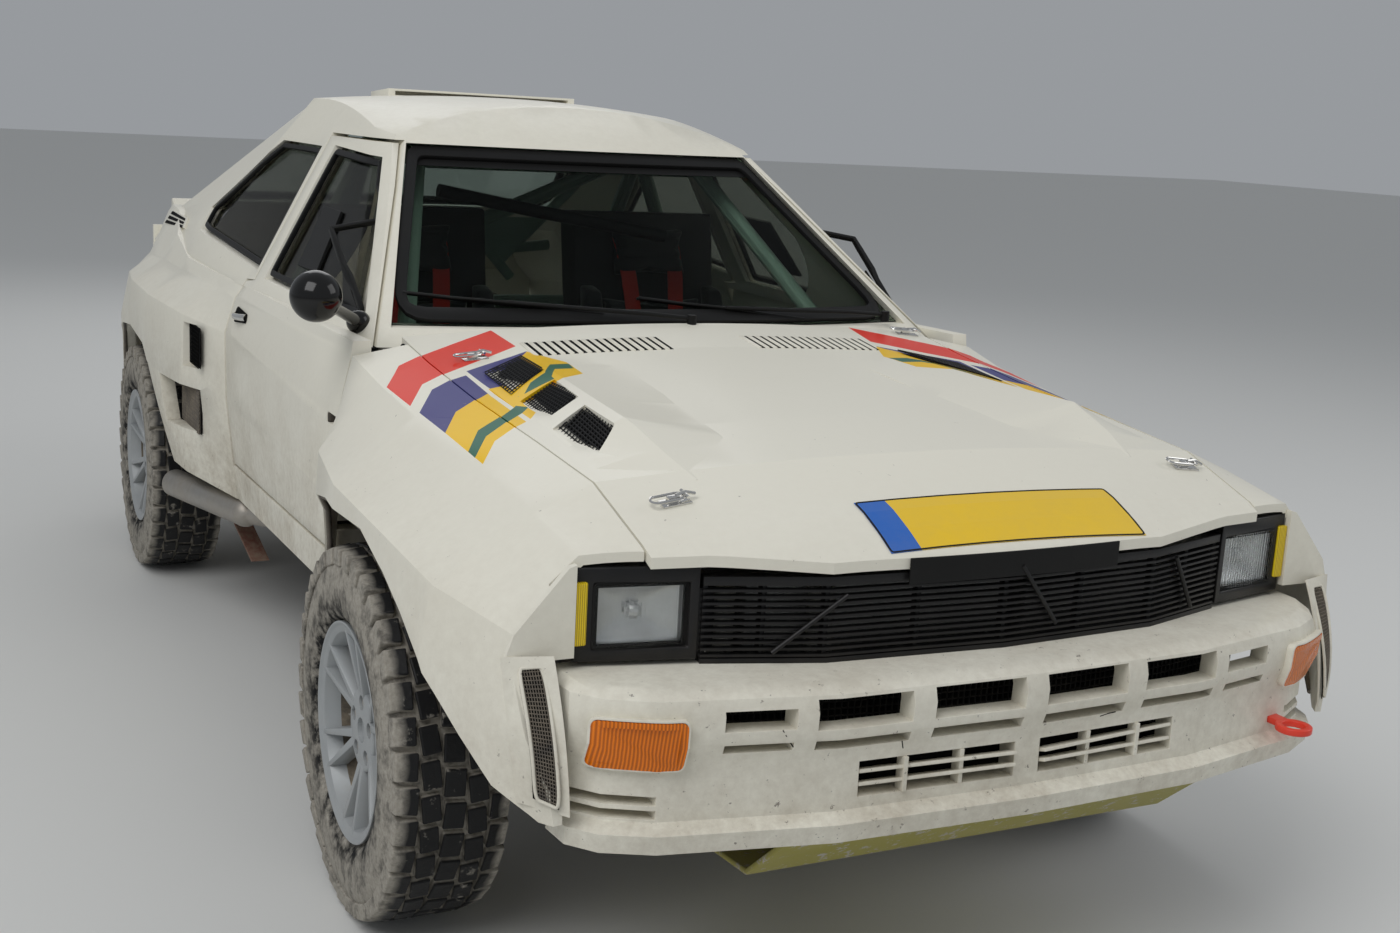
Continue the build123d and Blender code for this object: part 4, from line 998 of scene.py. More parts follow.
def makeWingMesh(label, side):
    bow = wingMesh["bow"]
    net = gridPlate((0, 0), (1, 1), wingMesh["cells"], onQuad(wingMesh["slot"], side, 0.001, bow))
    finished(wires(net, wingMesh["wire"]), "wingMesh" + label, "chassis", "under_metal", mudMesh)
    # near-black sheet behind the net: painted shade inside the slot
    back = gridPlate((-0.04, -0.01), (1.04, 1.01), (4, 12), onQuad(wingMesh["slot"], side, 0.005, bow))
    finished(thick(outward(back), 0.0015), "wingMeshShade" + label, "chassis", "under_metal", paintedShadeBlack)
    front = onQuad(wingMesh["slot"], side, 0.0, bow)
    flat = onQuad(wingMesh["face"], side)
    sheet = gridPlate((0, 0), (1, 1), (10, 16),
                      lambda u, v: flat(u, v) - Vector((0, 4 * bow * v * (1 - v) * min(1, 3 * u), 0)))
    sheet = outward(thick(sheet, 0.003))
    line = [front(*p) for p in roundedBox((0, 1), (0, 1), wingMesh["corner"], step=0.1)]
    start, length = wingMesh["cut"]
    cutter = plate(line, lambda x, y, z: Vector((x, start, z)))
    cut(sheet, extruded(cutter, (0, length, 0)))
    face = joined([smooth(sheet, 30), tube(line, wingMesh["rim"], closed=True)])
    finished(face, "wingMeshFace" + label, "chassis", "ivory_paint", bumperPaint)


for label, side in bothSides:
    makeWingMesh(label, side)

# grille: plain strip over it, two pale ducts and bent stays behind the bars

grilleTrim = {
    "strip": ((-0.197, 0.226), (0.803, 0.846)), "stripY": -2.0935, "bow": 0.16,
    "ducts": ((-0.475, -1.976), (-0.315, -2.016)), "ductZ": (0.60, 0.008, 25), "ductRadius": 0.022,
    "stays": [((-0.42, -2.052, 0.70), (-0.30, -2.072, 0.79)), ((0.02, -2.092, 0.82), (0.10, -2.092, 0.715)),
              ((0.38, -2.060, 0.80), (0.44, -2.045, 0.70))]}


def makeGrilleTrim():
    (x0, x1), (z0, z1) = grilleTrim["strip"]
    strip = gridPlate((x0, z0), (x1, z1), (16, 2),
                      lambda x, z: Vector((x, grilleTrim["stripY"] + grilleTrim["bow"] * x * x, z)))
    strip = bevelled(thick(outward(strip), 0.004, -1), 0.001)
    finished(strip, "grilleStrip", "chassis", "black_plastic", blackTrim)
    low, step, count = grilleTrim["ductZ"]
    parts = []
    for x, y in grilleTrim["ducts"]:
        rings = [(x, y, low + step * k) for k in range(count)]
        parts.append(tube([rings[0], rings[-1]], grilleTrim["ductRadius"], sides=4))
        for point in rings[1:-1:2]:
            ring = added(bpy.ops.mesh.primitive_torus_add, location=point, minor_radius=0.0028,
                         major_radius=grilleTrim["ductRadius"], major_segments=24, minor_segments=6)
            parts.append(settle(ring))
    finished(smooth(joined(parts), 50), "coolingDucts", "chassis", "alloy", paleDuct)
    stays = [tube(ends, 0.004) for ends in grilleTrim["stays"]]
    finished(joined(stays), "grilleStays", "chassis", "black_plastic", blackPlastic)


makeGrilleTrim()
print("nose dressed")

# bonnet: blank plate, louvre slots, toggle latches and the mesh of the humps; the slots and the openings
# under the mesh are painted shade in near-black


def onBonnet(x, y, lift=0.0):
    return cast("bonnet", (x, y, beyond), (0, 0, -1), lift)


def upright(normal, along):
    # matrix whose Z is a surface's normal and whose X lies along a direction
    side = normal.cross(Vector(along)).normalized()
    ahead = side.cross(normal).normalized()
    return Matrix((ahead, side, normal)).transposed().to_4x4()


def makePlate():
    (x0, x1), (y0, y1), lift = bonnetPlate["x"], bonnetPlate["y"], bonnetPlate["lift"]
    sheet = gridPlate((x0, y0), (x1, y1), (26, 8), lambda x, y: onBonnet(x, y, lift)[0])
    sheet = bevelled(thick(outward(sheet), bonnetPlate["depth"]), 0.0003)
    finished(sheet, "blankPlate", "bonnet_body", "ivory_paint", plateFace)
    rim = plate(roundedBox(bonnetPlate["x"], bonnetPlate["y"], bonnetPlate["corner"]),
                lambda x, y: onBonnet(x, y, lift + 0.0007)[0])
    rim = thick(outward(ringed(rim, bonnetPlate["rim"])), 0.0008)
    finished(rim, "plateRim", "bonnet_body", "black_plastic", blackTrim)


makePlate()

louvres = {"count": 16, "x": (0.112, 0.411), "y": (-1.010, -0.918), "slot": 0.0095, "lip": 0.0085,
           "rise": 0.0022}


def makeLouvres():
    dark, lips = [], []
    (x0, x1), (y0, y1), half = louvres["x"], louvres["y"], louvres["slot"] / 2
    for side in (-1, 1):
        for i in range(louvres["count"]):
            x = side * (x0 + i / (louvres["count"] - 1) * (x1 - x0))
            low, _ = onBonnet(x, y0, 0.0006)
            high, _ = onBonnet(x, y1, 0.0006)
            _, normal = onBonnet(x, (y0 + y1) / 2)
            base = Matrix.Translation((low + high) / 2) @ upright(normal, high - low)
            reach = (high - low).length / 2
            slot = bevelled(newBox((-reach, -half, -0.0008), (reach, half, 0.0004)), 0.0003)
            lip = newBox((-reach - 0.001, half, -0.001),
                         (reach + 0.001, half + louvres["lip"], louvres["rise"]))
            for vertex in lip.data.vertices:
                if vertex.co.z > 0 and vertex.co.y > louvres["slot"]:
                    vertex.co.z = 0.0002  # the lip runs out at its back
            bevelled(lip, 0.0008)
            for obj, group in ((slot, dark), (lip, lips)):
                obj.data.transform(base)
                group.append(obj)
    # the slots are near-black boxes: painted shade inside the openings
    finished(joined(dark), "louvreSlots", "bonnet_body", "black_plastic", paintedShadeBlack)
    finished(smooth(joined(lips), 40), "louvreLips", "bonnet_body", "ivory_paint", ivoryPaint)


makeLouvres()

latches = {"places": [(-0.523, -1.886), (0.556, -1.864), (-0.553, -0.998), (0.592, -0.845)], "long": 0.082,
           "skew": 0.12, "ring": (0.012, 0.010, 0.0024)}


def makeLatch(x, y, index):
    base, normal = onBonnet(x, y)
    matrix = Matrix.Translation(base) @ upright(normal, (1, latches["skew"] * (1 if x < 0 else -1), 0))
    half = latches["long"] / 2
    foot = bevelled(newBox((-half * 0.55, -0.011, 0), (half * 0.75, 0.011, 0.003)), 0.001)
    post = bevelled(newBox((-0.012, -0.005, 0.002), (0.010, 0.005, 0.014)), 0.002)
    long, wide, wire = latches["ring"]
    loop = []
    for k in range(16):
        angle = 2 * math.pi * k / 16
        end = 0.006 if math.cos(angle) > 0 else -0.030
        loop.append((end + long * math.cos(angle), wide * math.sin(angle), 0.012))
    ring = tube(loop, wire, closed=True)
    lever = tube([(0.004, 0, 0.014), (0.022, 0.002, 0.016), (half, 0.003, 0.009)], 0.0032)
    pin = tube([(0.020, -0.012, 0.014), (0.020, 0.012, 0.014)], 0.0028)
    latch = joined([foot, post, ring, lever, pin])
    latch.data.transform(matrix)
    finished(smooth(latch, 40), "bonnetLatch" + str(index), "bonnet_body", "steel", chrome)


for index, (x, y) in enumerate(latches["places"]):
    makeLatch(x, y, index)

humpMesh = {
    "openings": [[(0.566, -1.104), (0.457, -1.017), (0.463, -1.154), (0.571, -1.271)],
                 [(0.570, -1.313), (0.479, -1.243), (0.477, -1.373), (0.576, -1.455)],
                 [(0.579, -1.503), (0.484, -1.412), (0.510, -1.617), (0.584, -1.699)]],
    "lifts": (0.003, -0.0045, -0.0045), "outside": 0.012, "wire": 0.003, "cells": (11, 13), "shade": 0.006}


def makeHumpMesh(label, side):
    nets, shadeSheets = [], []
    for corners, lift in zip(humpMesh["openings"], humpMesh["lifts"]):
        points = []
        middle = sum((Vector(c) for c in corners), Vector((0, 0))) / 4
        for x, y in corners:
            # height of the bonnet just outside the opening
            out = (Vector((x, y)) - middle).normalized() * humpMesh["outside"]
            top, _ = onBonnet(side * (x + out.x), y + out.y)
            points.append((side * x, y, top.z + lift))
        spot = onQuad(points)
        nets.append(wires(gridPlate((0, 0), (1, 1), humpMesh["cells"], spot), humpMesh["wire"]))
        # near-black sheet under each opening: painted shade inside the hump
        back = gridPlate((0, 0), (1, 1), (2, 2), lambda u, v: spot(u, v) - Vector((0, 0, humpMesh["shade"])))
        shadeSheets.append(thick(outward(back), 0.002))
    finished(joined(nets), "humpMesh" + label, "bonnet_body", "black_plastic", blackPlastic)
    finished(joined(shadeSheets), "humpShade" + label, "bonnet_body", "black_plastic", paintedShadeBlack)


for label, side in bothSides:
    makeHumpMesh(label, side)
print("bonnet dressed")

shutLine = {"y": (-1.93, -0.83), "points": 23, "x": (0.45, 0.80), "radius": 0.006, "deep": 0.014,
            "inside": 0.002, "outside": 0.003}


def makeShutLine(label, side):
    # dark bar under the gap between the bonnet and the wing: painted shade in the gap
    points = []
    for k in range(shutLine["points"]):
        y = shutLine["y"][0] + k / (shutLine["points"] - 1) * (shutLine["y"][1] - shutLine["y"][0])
        x0, x1 = shutLine["x"]
        for _ in range(14):
            # halves the stretch in which the bonnet ends
            middle = (x0 + x1) / 2
            x0, x1 = (middle, x1) if onBonnet(side * middle, y)[0] is not None else (x0, middle)
        edge, _ = onBonnet(side * (x0 - shutLine["inside"]), y)
        points.append(Vector((side * (x0 + shutLine["outside"]), y, edge.z - shutLine["deep"])))
    finished(tube(points, shutLine["radius"]), "shutLine" + label, "chassis", "black_plastic", paintedShadeBlack)


for label, side in bothSides:
    makeShutLine(label, side)

# hair cracks in the bumper's paint, as x and z along each
cracks = [[(-0.448, 0.608), (-0.432, 0.586), (-0.453, 0.616)], [(-0.245, 0.578), (-0.239, 0.564)],
          [(0.177, 0.578), (0.160, 0.577), (0.145, 0.574)]]


def makeCracks():
    parts = []
    for line in cracks:
        met = [cast("front_bumper", (x, -beyond, z), (0, 1, 0), -0.0002)[0] for x, z in line]
        met = [p for p in met if p is not None]
        if len(met) > 1:
            parts.append(tube(met, 0.0010, sides=1))
    finished(joined(parts), "bumperCracks", "chassis", "black_plastic", paintedShadeBlack)


makeCracks()

# windscreen and side windows: black seals, the dark band and the wipers

# name, node, body, corners of the outline, width, corner radius and the way it faces in
seals = [
    ("screenSeal", "windscreen", "chassis",
     [(-0.640, 1.040), (0.640, 1.040), (0.455, 1.394), (-0.455, 1.394)], 0.023, 0.05, (0, 1, 0)),
    ("rearSeal", "rear_window", "chassis",
     [(-0.590, 1.150), (0.590, 1.150), (0.425, 1.432), (-0.425, 1.432)], 0.022, 0.05, (0, -1, 0)),
]
quarterOutline = [(0.262, 1.053), (0.270, 1.362), (0.589, 1.363), (1.022, 1.148), (0.974, 1.096)]
doorOutline = [(-0.680, 1.037), (-0.203, 1.357), (0.148, 1.368), (0.138, 1.041)]
for label, side in bothSides:
    door = "_" + label.lower()
    seals += [
        ("quarterSeal" + label, "side_windows", "chassis", quarterOutline, 0.012, 0.02, (-side, 0, 0)),
        ("doorSeal" + label, "door_glass" + door, "door" + door + "_body", doorOutline, 0.014, 0.02,
         (-side, 0, 0)),
    ]


def makeSeal(name, target, body, outline, width, radius, direction, deep=0.012):
    def away(across, z):
        # place off the glass, seen from the side or from an end
        if direction[0]:
            return Vector((-direction[0] * beyond, across, z))
        return Vector((across, -direction[1] * beyond, z))

    ring = ringed(plate(rounded(outline, radius, 0.04), away), width)
    seal = bevelled(outward(thick(draped(ring, target, direction, deep), deep)), 0.002)
    finished(smooth(seal, 40), name, body, "black_plastic", blackTrim)


for seal in seals:
    makeSeal(*seal)

screenBand = {"z": (1.352, 1.392), "halves": (0.452, 0.440), "lift": 0.0012}


def onScreen(x, z, lift):
    place, _ = cast("windscreen", (x, -beyond, z), (0, 1, 0), lift)
    return place


def makeScreenBand():
    (z0, z1), (low, high) = screenBand["z"], screenBand["halves"]

    def spot(u, z):
        return onScreen(u * (low + (high - low) * (z - z0) / (z1 - z0)), z, screenBand["lift"])

    band = gridPlate((-1, z0), (1, z1), (40, 4), spot)
    finished(thick(outward(band), 0.0008), "screenBand", "chassis", "black_plastic", blackTrim)


makeScreenBand()

wipers = {"Left": {"blade": ((-0.058, 1.089), (0.359, 1.044)), "pivot": (0.575, -0.775)},
          "Right": {"blade": ((-0.596, 1.093), (-0.163, 1.058)), "pivot": (0.030, -0.815)},
          "cowlZ": 1.045, "lift": 0.020}


def makeWiper(label):
    (x0, z0), (x1, z1) = wipers[label]["blade"]
    line = [onScreen(x0 + k / 10 * (x1 - x0), z0 + k / 10 * (z1 - z0), wipers["lift"]) for k in range(11)]
    rubber = [point + Vector((0, 0.010, -0.003)) for point in line]
    pivot, _ = onBonnet(*wipers[label]["pivot"])
    if pivot is None:
        pivot = Vector((*wipers[label]["pivot"], wipers["cowlZ"]))  # on the cowl behind the bonnet
    middle = line[5] + Vector((0, -0.008, 0.004))
    bent = pivot.lerp(middle, 0.25) + Vector((0, -0.008, 0.012))
    arm = tube([pivot + Vector((0, 0, 0.012)), bent, middle], 0.005)
    cap = tube([pivot - Vector((0, 0, 0.004)), pivot + Vector((0, 0, 0.020))], 0.011, sides=3)
    yoke = tube([line[2], middle, line[8]], 0.0035)
    wiper = joined([tube(line, 0.004), tube(rubber, 0.0035), arm, cap, yoke])
    finished(wiper, "wiper" + label, "chassis", "black_plastic", blackTrim)


for label, _ in bothSides:
    makeWiper(label)
print("windows dressed")

# seats: a hard shell with pads swollen by cloth pressure, sewn channels and red belts

seatSpec = {"middle": 0.345, "voxel": 0.006, "pressure": 4.0, "cap": 0.011, "frames": 20, "shrink": -0.04,
            "seamDepth": 0.005, "seamWidth": 0.006, "seamHalf": 0.16, "baseTop": 0.65, "baseStep": 0.0625,
            "slope": ((0.0, 0.66), (0.085, 0.99)), "slopeSeams": 6, "wings": (0.166, 0.208), "edge": 0.006}
# half width, then the side view's corners as y and z
seatPads = [
    (0.150, [(-0.252, 0.592), (0.000, 0.590), (0.004, 0.628), (-0.252, 0.640)]),
    (0.150, [(0.012, 0.655), (0.096, 0.990), (0.074, 0.996), (-0.012, 0.664)]),
    (0.105, [(0.112, 1.050), (0.140, 1.180), (0.114, 1.186), (0.086, 1.056)]),
]
seatWings = [
    [(-0.250, 0.646), (0.010, 0.646), (0.006, 0.672), (-0.246, 0.668)],
    [(0.022, 0.700), (0.110, 1.020), (0.048, 1.010), (-0.050, 0.740)],
]


def sidePrism(corners, x0, x1):
    # closed form from its side view
    sheet = plate(corners, lambda y, z: Vector((x0, y, z)))
    return bevelled(extruded(sheet, (x1 - x0, 0, 0)), seatSpec["edge"])


def swollen(obj):
    modified(obj, "REMESH", mode="VOXEL", voxel_size=seatSpec["voxel"])
    before = [v.co.copy() for v in obj.data.vertices]
    cloth = obj.modifiers.new("pad", "CLOTH").settings
    cloth.quality = 4
    cloth.use_pressure = True
    cloth.uniform_pressure_force = seatSpec["pressure"]
    cloth.effector_weights.gravity = 0
    cloth.shrink_min = seatSpec["shrink"]
    for frameNumber in range(1, seatSpec["frames"] + 1):
        bpy.context.scene.frame_set(frameNumber)
    applyAll(obj)
    for vertex, start in zip(obj.data.vertices, before):
        move = vertex.co - start
        if move.length > seatSpec["cap"]:
            vertex.co = start + move.normalized() * seatSpec["cap"]
    return smooth(modified(obj, "SUBSURF", levels=1, render_levels=1), 60)


def makeSeatPads():
    middle = seatSpec["middle"]
    parts = [sidePrism(corners, middle - half, middle + half) for half, corners in seatPads]
    for corners in seatWings:
        for side in (-1, 1):
            parts.append(sidePrism(corners, *sorted(middle + side * x for x in seatSpec["wings"])))
    pads = swollen(joined(parts))
    (y0, z0), (y1, z1) = seatSpec["slope"]
    slope = Vector((y1 - y0, z1 - z0))
    length = slope.length
    for vertex in pads.data.vertices:
        x, y, z = vertex.co
        if abs(x - middle) > seatSpec["seamHalf"]:
            continue
        run = Vector((y - y0, z - z0)).dot(slope) / length
        flat = z < seatSpec["baseTop"]
        step = seatSpec["baseStep"] if flat else length / seatSpec["slopeSeams"]
        place = y + 4 * seatSpec["baseStep"] if flat else run
        off = (place + step / 2) % step - step / 2
        dent = seatSpec["seamDepth"] * math.exp(-(off / seatSpec["seamWidth"]) ** 2)
        if flat:
            vertex.co.z -= dent
        elif 0 < run < length + 0.2:
            vertex.co.y += dent
    return pads


# belts beside the seat's middle: over the shoulder as y and z, and across the lap as x, y and z
beltSpec = {"width": 0.046, "thick": 0.0025, "top": 0.078, "low": 0.022,
            "shoulder": [(0.150, 1.165), (0.112, 1.120), (0.078, 1.050), (0.045, 0.940), (0.004, 0.800),
                         (-0.036, 0.700), (-0.075, 0.668)],
            "lap": [(0.150, -0.050, 0.700), (0.090, -0.098, 0.690), (0.030, -0.100, 0.676)],
            "buckle": {"radius": 0.030, "depth": 0.014, "y": -0.098, "z": 0.678, "tilt": 1.1}}


def makeStrap(line, across):
    # flat band along a line of points, with its width along a direction
    half = Vector(across) * beltSpec["width"] / 2
    strap = gridPlate((0, -1), (len(line) - 1, 1), (len(line) - 1, 1),
                      lambda k, j: Vector(line[round(k)]) + half * j)
    return thick(outward(strap), beltSpec["thick"])


def makeBelts():
    middle, line = seatSpec["middle"], beltSpec["shoulder"]
    parts = []
    for side in (-1, 1):
        shoulder = []
        for k, (y, z) in enumerate(line):
            x = beltSpec["top"] + (beltSpec["low"] - beltSpec["top"]) * (k / (len(line) - 1)) ** 2
            shoulder.append((middle + side * x, y, z))
        parts.append(makeStrap(shoulder, (1, 0, 0)))
        parts.append(makeStrap([(middle + side * x, y, z) for x, y, z in beltSpec["lap"]], (0, 0, 1)))
    return smooth(joined(parts), 60)


def makeBuckle():
    spec = beltSpec["buckle"]
    disc = added(bpy.ops.mesh.primitive_cylinder_add, vertices=32, radius=spec["radius"], depth=spec["depth"],
                 location=(seatSpec["middle"], spec["y"], spec["z"]), rotation=(spec["tilt"], 0, 0))
    return smooth(bevelled(settle(disc), 0.003), 40)


seatPieces = mirroredPair([(makeSeatPads(), "seatPads", "seat_cloth", seatCloth),
                           (makeBelts(), "seatBelts", "seat_cloth", beltWeb),
                           (makeBuckle(), "seatBuckle", "steel", wornSteel)])
for side, _ in bothSides:
    node = "seat_" + side.lower()
    shell = finished(merged(node, 0.016, 32, 3), "seatShell" + side, "chassis", "seat_cloth", seatShell)
    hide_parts(node)
    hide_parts(node)
print("seats made")

# inside: cross brace with its gusset plate, and the black bar behind the windscreen

brace = {
    "tubes": [((0.027, 0.365, 1.017), (-0.129, 0.365, 1.188)),
              ((-0.011, 0.368, 1.060), (0.221, 0.368, 1.286)),
              ((0.020, 0.366, 1.100), (0.140, 0.366, 1.111))], "tubeRadius": 0.015,
    "gusset": [(-0.129, 1.188), (0.120, 1.190), (0.072, 1.148), (-0.006, 1.064)], "gussetY": 0.352,
    "bar": [(-0.345, -0.100, 1.284), (-0.09, -0.105, 1.240), (0.290, -0.100, 1.180)], "barRadius": 0.017}


def makeBrace():
    parts = [tube(ends, brace["tubeRadius"], sides=4) for ends in brace["tubes"]]
    sheet = plate(brace["gusset"], lambda x, z: Vector((x, brace["gussetY"], z)))
    parts.append(bevelled(outward(thick(sheet, 0.004)), 0.001))
    finished(joined(parts), "cageBrace", "chassis", "cage_paint", cagePaint)
    bar = tube(brace["bar"], brace["barRadius"], sides=4)
    finished(bar, "cageBar", "chassis", "black_plastic", blackTrim)


makeBrace()
print("inside dressed")

# sides: handles, slider rails, sail plates, pillar louvres, vents, arch lips and the flap

sideSpec = {
    "handle": {"y": (0.105, 0.250), "z": (0.910, 0.950), "lift": 0.002, "stand": 0.004, "lever": 0.013,
               "leverRadius": 0.0065},
    "rail": [(0.024, 1.230), (-0.131, 1.227), (-0.196, 1.086), (-0.026, 1.084)],
    "sail": [(-0.632, 1.048), (-0.505, 1.048), (-0.495, 1.135)],
    "louvre": {"corners": [(1.235, 1.066), (1.600, 1.052), (1.545, 1.101), (1.290, 1.093)], "stand": 0.006,
               "slats": 3, "slot": (0.22, 0.86), "run": (0.06, 0.95), "slotStand": 0.0065},
    "vents": (("upperVent", (0.414, 0.543), (0.756, 0.866), 0.837, paintedShadeBlack, 0.002),
              ("lowerVent", (0.449, 0.712), (0.566, 0.688), 0.829, mudMesh, 0.0035)), "ventCell": 0.011,
    "ventGap": 0.005,
    "lip": {"front": [(0.388, 0.500), (0.386, 0.620), (0.366, 0.688), (0.306, 0.733), (0.163, 0.760),
                      (-0.130, 0.774), (-0.276, 0.736), (-0.375, 0.696), (-0.470, 0.648), (-0.533, 0.604),
                      (-0.590, 0.562), (-0.645, 0.526), (-0.705, 0.488)],
            "rear": [(-0.476, 0.532), (-0.396, 0.622), (-0.328, 0.703), (-0.228, 0.748), (0, 0.771),
                     (0.228, 0.748), (0.330, 0.703), (0.396, 0.622), (0.450, 0.535)],
            "middleZ": 0.45, "outside": 0.010, "sunk": 0.007, "radius": 0.006},
    "flap": {"line": [(-0.752, 0.735, 0.440), (-0.700, 0.520, 0.285), (-0.672, 0.430, 0.200)], "width": 0.05},
}


def onSide(node, side, y, z, lift=0.0):
    # point met from outside on a node, or none
    return cast(node, (side * beyond, y, z), (-side, 0, 0), lift)[0]


def sideSheet(node, side, outline, lift, deep, edge):
    # thin plate laid on a node from its side view
    sheet = draped(plate(outline, lambda y, z: Vector((side * beyond, y, z))), node, (-side, 0, 0), lift)
    return bevelled(outward(thick(sheet, deep)), edge)


def makeHandle(label, side):
    spec = sideSpec["handle"]
    (y0, y1), (z0, z1) = spec["y"], spec["z"]
    node = "door_" + label.lower()
    outline = rounded([(y0, z0 + 0.012), (y1 - 0.02, z0), (y1, z0 + 0.012), (y1 - 0.01, z1),
                       (y0 + 0.01, z1 - 0.006)], 0.014, 0.02)
    cup = sideSheet(node, side, outline, spec["lift"], 0.003, 0.0008)
    finished(cup, "handleCup" + label, node + "_body", "black_plastic", paintedShadeBlack)
    points = []
    for k in range(9):
        share = k / 8
        base = onSide(node, side, y0 + 0.012 + share * (y1 - y0 - 0.024), z0 + 0.024 - 0.006 * share)
        arch = spec["stand"] + spec["lever"] * math.sin(math.pi * share) ** 0.6
        points.append(base + Vector((side * arch, 0, 0)))
    lever = tube(points, spec["leverRadius"], sides=4)
    for vertex in lever.data.vertices:
        vertex.co.z += (vertex.co.z - (z0 + 0.021)) * 0.35  # taller than it is thick
    finished(lever, "handleLever" + label, node + "_body", "steel", chrome)


def makeWindowFittings(label, side):
    door = "_" + label.lower()
    for name, outline, deep in (("sliderRail", sideSpec["rail"], 0.008),
                                ("sailPlate", sideSpec["sail"], 0.006)):
        sheet = sideSheet("door_glass" + door, side, outline, deep / 2, deep, 0.001)
        finished(sheet, name + label, "door" + door + "_body", "black_plastic", blackTrim)


def makePillarLouvre(label, side):
    spec = sideSpec["louvre"]
    corners = []
    for y, z in spec["corners"]:
        # the outer one of the two panels that meet here
        met = [onSide(node, side, y, z, -0.004) for node in ("quarter_" + label.lower(), "cabin_shell")]
        outer = max((p for p in met if p is not None), key=lambda p: abs(p.x))
        corners.append((abs(outer.x) + spec["stand"], outer.y, outer.z))
    spot = onQuad(corners, side)
    panel = bevelled(thick(outward(gridPlate((0, 0), (1, 1), (8, 8), spot)), 0.010), 0.002)
    finished(panel, "pillarLouvre" + label, "chassis", "ivory_paint", ivoryPaint)
    # near-black strips under the slats: painted shade in the louvre's slots
    dark = []
    for k in range(spec["slats"]):
        v0, v1 = [(k + share) / spec["slats"] for share in spec["slot"]]
        sheet = gridPlate((spec["run"][0], v0), (spec["run"][1], v1), (8, 2),
                          lambda u, v: spot(u, v) + Vector((side * spec["slotStand"], 0, 0)))
        dark.append(thick(outward(sheet), 0.002))
    finished(joined(dark), "pillarSlots" + label, "chassis", "black_plastic", paintedShadeBlack)


def makeVents(label, side):
    # name, y, z, depth from the car's middle, the mesh's finish and its wire
    for name, (y0, y1), (z0, z1), depth, finish, wire in sideSpec["vents"]:
        def sheet(cells, x):
            return gridPlate((y0, z0), (y1, z1), cells, lambda y, z: Vector((side * x, y, z)))

        # near-black sheet at the vent's depth: painted shade inside the vent
        back = thick(outward(sheet((2, 2), depth)), 0.002)
        finished(back, name + "Back" + label, "chassis", "black_plastic", paintedShadeBlack)
        net = sheet([int(size / sideSpec["ventCell"]) for size in (y1 - y0, z1 - z0)],
                    depth + sideSpec["ventGap"])
        finished(wires(net, wire), name + "Mesh" + label, "chassis", "under_metal", finish)


def makeLips(label, side):
    spec = sideSpec["lip"]
    for end, axle, node in zip(("front", "rear"), tyreShape["axles"], ("wing_", "quarter_")):
        ring = spec[end]
        middle = Vector((sum(p[0] for p in ring) / len(ring), spec["middleZ"]))
        points = []
        for y, z in ring:
            out = (Vector((y, z)) - middle).normalized() * spec["outside"]
            met = onSide(node + label.lower(), side, axle + y + out.x, z + out.y)
            if met is not None:
                points.append((met.x - side * spec["sunk"], axle + y, z))
        lip = tube(points, spec["radius"])
        finished(lip, end + "Lip" + label, "chassis", "black_plastic", mudMesh)


def makeFlap():
    a, b, c = [Vector(p) for p in sideSpec["flap"]["line"]]

    def hung(u, v):
        along = a.lerp(b, v / 2) if v <= 2 else b.lerp(c, v / 2 - 1)
        return along + Vector(((u - 0.5) * sideSpec["flap"]["width"], 0, 0))

    sheet = bevelled(thick(outward(gridPlate((0, 0), (1, 4), (1, 4), hung)), 0.006), 0.001)
    finished(sheet, "mudFlap", "chassis", "black_plastic", flapRubber)


for label, side in bothSides:
    for make in (makeHandle, makeWindowFittings, makePillarLouvre, makeVents, makeLips):
        make(label, side)
makeFlap()
print("sides dressed")

# wheels: a barrel, twelve thin spokes in pairs, a hub with pockets for its nuts and the brake disc

wheelShape = {
    "barrel": [(-0.0975, 0.184), (-0.0975, 0.2075), (-0.089, 0.2075), (-0.086, 0.1895), (-0.053, 0.1895),
               (-0.038, 0.176), (0.038, 0.176), (0.053, 0.1895), (0.086, 0.1895), (0.0885, 0.2070),
               (0.0975, 0.2075), (0.0975, 0.2035), (0.0925, 0.199), (0.090, 0.186), (0.058, 0.182),
               (0.038, 0.168), (-0.043, 0.168), (-0.058, 0.182), (-0.090, 0.184)],
    # a radius, then x from and to
    "hub": (0.078, 0.030, 0.068), "bore": (0.024, 0.060, 0.1), "pocket": (0.0145, 0.055, 0.1),
    "nut": (0.0095, 0.053, 0.064), "brake": (0.140, -0.023, -0.001), "axle": (0.042, -0.031, 0.036),
    "nuts": 5, "nutRing": 0.054, "nutStart": 0.3, "pairs": 6,
    # a spoke's ends: radius, degrees from the pair's middle, width, x of the front and of the back
    "spoke": ((0.066, 6.0, 0.024, 0.068, 0.034), (0.194, 10.0, 0.013, 0.092, 0.058)), "taper": 0.7,
    "dirt": (0.056, 0.155),  # the barrel below this x and outside this radius takes the dark under-car finish
}


def drum(radius, x0, x1, y=0.0, z=0.0, sides=64):
    return settle(added(bpy.ops.mesh.primitive_cylinder_add, vertices=sides, radius=radius, depth=x1 - x0,
                        rotation=(0, math.pi / 2, 0), location=((x0 + x1) / 2, y, z)))


def makeSpoke(angle, lean):
    # bar from the hub to the barrel, thin in front view and deep from the side
    rings = []
    for radius, turn, *section in wheelShape["spoke"]:
        a = angle + lean * math.radians(turn)
        rings.append((Vector((0, math.sin(a), math.cos(a))) * radius, *section))
    run = (rings[1][0] - rings[0][0]).normalized()
    across = Vector((1, 0, 0)).cross(run)
    bar = newBox((0, 0, 0), (1, 1, 1))
    for vertex in bar.data.vertices:
        point, width, front, back = rings[int(round(vertex.co.z))]
        ahead = vertex.co.x > 0.5
        wide = width * (wheelShape["taper"] if ahead else 1.0)
        vertex.co = (point + across * wide * (vertex.co.y - 0.5) + Vector((front if ahead else back, 0, 0)))
    return smooth(bevelled(outward(bar), 0.0015), 40)


